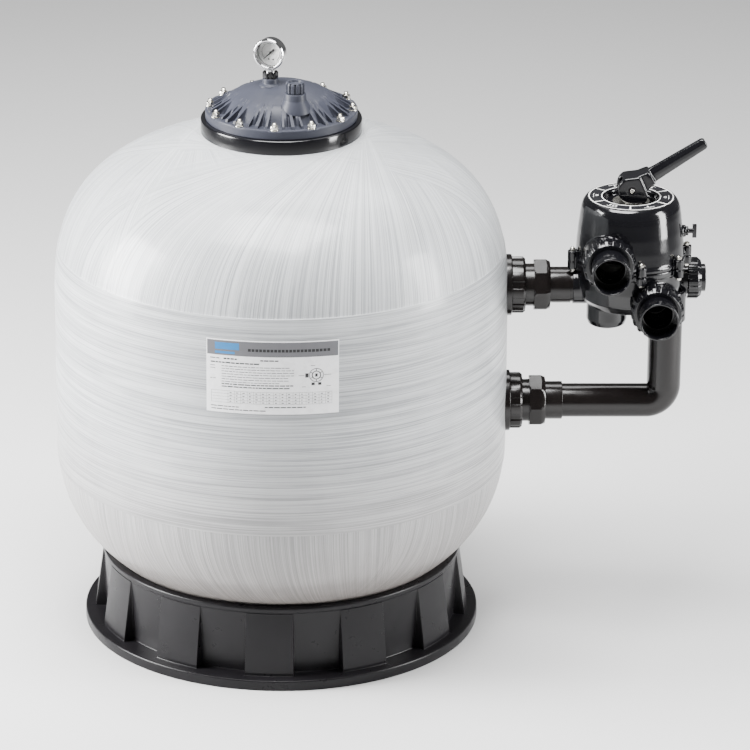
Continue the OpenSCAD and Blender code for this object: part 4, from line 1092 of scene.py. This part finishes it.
def bolts():
    """The cover's seven bolts and nuts; the pump port takes the eighth place."""
    low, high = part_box("cover_bolts")
    nut_low, nut_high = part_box("cover_nuts")
    head_h = 0.0044
    head_shape = [(0, 0), (0.0048, 0), (0.0056, 0.0006), (0.0056, head_h), (0, head_h)]
    axis = Vector(JOINT["valve_index"]["pos_m"])
    rods, nuts = [], []
    for k in range(7):
        a = LUG_FIRST + TURN / 8 * k
        at = Vector((axis.x + LUG_CIRCLE * math.cos(a), axis.y + LUG_CIRCLE * math.sin(a), 0))
        spin = Matrix.Rotation(1.1 * k, 4, "Z")
        head = Matrix.Translation((at.x, at.y, low.z)) @ spin
        rods.append(lathe(f"bolt_head{k}", head_shape, head, 48, many_sided(6, 0.00485, 0.0035)))
        rods.append(lathe(f"bolt_rod{k}", threaded(0.003, high.z - low.z - head_h, 0.001, 0.0004),
                          head @ Matrix.Translation((0, 0, head_h)), 20))
        up = Matrix.Translation((at.x, at.y, nut_low.z)) @ spin
        nuts.append(lathe(f"cover_nut{k}", hex_outline(0.0056, 0.0031, nut_high.z - nut_low.z), up, 48,
                          many_sided(6, 0.00485, 0.004)))
    add(joined("cover_bolt_rods", rods), "root", "zinc_steel", "cover_bolts")
    add(joined("cover_hex_nuts", nuts), "root", "zinc_steel", "cover_nuts")


def unions():
    """Ribbed union nuts and tails on the front ports, the closed waste port and the drain cap."""
    nut_r, socket_r, tail_r = 0.049, 0.0316, 0.036
    for name in ("pump", "return"):
        place, length, _ = place_of(f"{name}_union_nut", "front")
        nut = rounded([(0.0428, 0, 0.0008), (nut_r - 0.001, 0, 0.001), (nut_r, 0.002, 0.0008),
                       (nut_r, length - 0.008, 0.0015), (nut_r - 0.006, length, 0.002),
                       (0.0353, length, 0.0008), (0.0353, length - 0.007), (0.0428, length - 0.007)])
        add(lathe(f"{name}_ribbed_nut", nut, place, 480, ribbed(20, 0.0026, 0.0440, 0.45, 0.16)),
            "root", "valve_plastic", f"{name}_union_nut")
        place, length, _ = place_of(f"{name}_union_tail", "front")
        socket_end = length - 0.040
        tail = rounded([
            (TAIL_BORE, 0), (0.0405, 0, 0.0005), (0.0405, 0.006, 0.0005), (tail_r - 0.001, 0.006),
            (tail_r - 0.001, length - 0.021, 0.0006), (tail_r, length - 0.019, 0.0006),
            (tail_r, length, 0.0012), (socket_r + 0.0012, length, 0.0012), (socket_r, length - 0.003, 0.0005),
            (socket_r, socket_end), (TAIL_BORE, socket_end, 0.0004)])
        add(lathe(f"{name}_tail_pipe", tail, place, 144), "root", "valve_plastic", f"{name}_union_tail")
    place, length, _ = place_of("waste_union_nut", "x")
    nut = rounded([(0.0311, 0, 0.0006), (0.038, 0, 0.001), (0.039, 0.002, 0.0006),
                   (0.039, length - 0.007, 0.0012), (0.033, length, 0.0015), (0.0262, length, 0.0006),
                   (0.0262, length - 0.008), (0.0311, length - 0.008)])
    add(lathe("waste_ribbed_nut", nut, place, 384, ribbed(16, 0.0024, 0.0345, 0.45, 0.16)),
        "root", "valve_plastic", "waste_union_nut")
    place, length, _ = place_of("waste_plug", "x")
    plug = rounded([(0, 0), (0.030, 0, 0.0004), (0.030, 0.006), (0.0258, 0.006), (0.0258, length, 0.0015),
                    (0.020, length, 0.0008), (0.0185, length - 0.002, 0.0008), (0, length - 0.002)])
    add(lathe("waste_end_plug", plug, place, 96), "root", "valve_plastic", "waste_plug")
    place, length, _ = place_of("drain_cap", "back")
    cap = rounded([(0, 0.014), (0.0221, 0.014), (0.0221, 0, 0.0005), (0.0268, 0, 0.0008),
                   (0.0268, length - 0.003, 0.001), (0.0240, length, 0.0012), (0.012, length, 0.0008),
                   (0.0105, length - 0.002, 0.0008), (0, length - 0.002)])
    add(lathe("drain_screw_cap", cap, place, 288, ribbed(12, 0.0016, 0.0245, 0.4, 0.2)),
        "root", "fitting_plastic", "drain_cap")


# ---------------------------------------------------------------- handle

def handle():
    """The lever, its arm narrowed towards the top, and its pin."""
    piece = moulded("lever", "handle", 0.0011, 26)
    pin = Vector(JOINT["handle_press"]["pos_m"])
    slope = math.radians(33)
    along = Vector((math.cos(slope), 0, math.sin(slope)))
    across = Vector((-math.sin(slope), 0, math.cos(slope)))
    for v in piece.data.vertices:
        rel = v.co - pin
        reach, rise = rel.dot(along), rel.dot(across)
        arm = smoothstep((reach - 0.036) / 0.020)
        top = smoothstep((rise - 0.001) / 0.011)
        under = smoothstep((-rise - 0.003) / 0.010)
        v.co.y *= 1 - arm * (0.42 * top + 0.18 * under)
    add(piece, "lever", "valve_plastic", "handle")
    place, length, r = place_of("handle_pin", "front")
    pin_rod = rounded([(0, 0), (r, 0, 0.0008), (r, length, 0.0008), (0, length)], 3)
    add(lathe("hinge_pin", pin_rod, place, 40), "rotor", "zinc_steel", "handle_pin")


def spring():
    """The rotor spring, carried whole on the rotor."""
    piece = cad_copy("coil_spring", "rotor_spring")
    add(piece, "rotor", "zinc_steel", "rotor_spring")
    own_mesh(piece)


tank()
base()
label()
neck()
lid()
bleed()
gauge()
port_side()
link()
valve()
spring()
handle()

# ---------------------------------------------------------------- stage, lights and camera


def stage():
    """A plain pale floor."""
    bm = bmesh.new()
    bmesh.ops.create_grid(bm, x_segments=1, y_segments=1, size=30)
    floor = mesh_object("floor", bm)
    s = Shader("floor", Roughness=0.9, Specular_IOR_Level=0.1)
    s.set(Base_Color=s.blend(s.noise(s.where, 0.6), (0.56, 0.56, 0.56), (0.59, 0.59, 0.59)))
    floor.data.materials.append(s.material)


def soft_box(name, azimuth, elevation, distance, width, height, power, aim=(0.1, 0, 0.55)):
    """A soft light on a sphere round the object; azimuth 0 is the camera's side, positive to its right."""
    light = bpy.data.lights.new(name, "AREA")
    light.shape = "RECTANGLE"
    light.size, light.size_y = width, height
    light.energy = power
    lamp = bpy.data.objects.new(name, light)
    a, e = math.radians(azimuth), math.radians(elevation)
    back = Vector((math.sin(a) * math.cos(e), -math.cos(a) * math.cos(e), math.sin(e)))
    lamp.location = Vector(aim) + back * distance
    lamp.rotation_euler = (-back).to_track_quat("-Z", "Y").to_euler()
    bpy.context.scene.collection.objects.link(lamp)


def lights():
    """A dim even sky and four soft boxes."""
    world = bpy.data.worlds.new("studio")
    world.use_nodes = True
    sky = world.node_tree.nodes["Background"]
    sky.inputs["Color"].default_value = (1, 1, 1, 1)
    sky.inputs["Strength"].default_value = 0.16
    bpy.context.scene.world = world
    soft_box("left", -84, 18, 3.2, 1.3, 2.2, 560)
    soft_box("right", 76, 14, 3.0, 0.7, 2.0, 170)
    soft_box("top", -25, 80, 3.2, 2.0, 1.8, 360)
    # A large pale card behind, which the floor and the rims pick up
    soft_box("back", 172, 60, 4.5, 3.0, 1.4, 120)


CAMERA_AT = Vector((0, -8.5919, 3.8042))
CAMERA_DOWN = math.radians(20.86)
CAMERA_YAW = math.radians(1.087)
CAMERA_PITCH = math.radians(-0.303)
CAMERA_LENS = 236.7


def camera():
    """The camera that was fitted to the photograph's outline of the tank."""
    data = bpy.data.cameras.new("camera")
    data.sensor_width = 36
    data.lens = CAMERA_LENS
    data.clip_start, data.clip_end = 0.1, 100
    made = bpy.data.objects.new("camera", data)
    ahead = Vector((0, math.cos(CAMERA_DOWN), -math.sin(CAMERA_DOWN)))
    up = Vector((0, math.sin(CAMERA_DOWN), math.cos(CAMERA_DOWN)))
    right = Vector((1, 0, 0))
    yawed = ahead * math.cos(CAMERA_YAW) + right * math.sin(CAMERA_YAW)
    right = right * math.cos(CAMERA_YAW) - ahead * math.sin(CAMERA_YAW)
    forward = yawed * math.cos(CAMERA_PITCH) + up * math.sin(CAMERA_PITCH)
    up = up * math.cos(CAMERA_PITCH) - yawed * math.sin(CAMERA_PITCH)
    made.matrix_world = Matrix.Translation(CAMERA_AT) @ Matrix((right, up, -forward)).transposed().to_4x4()
    bpy.context.scene.collection.objects.link(made)
    bpy.context.scene.camera = made


stage()
lights()
camera()

bpy.context.view_layer.update()
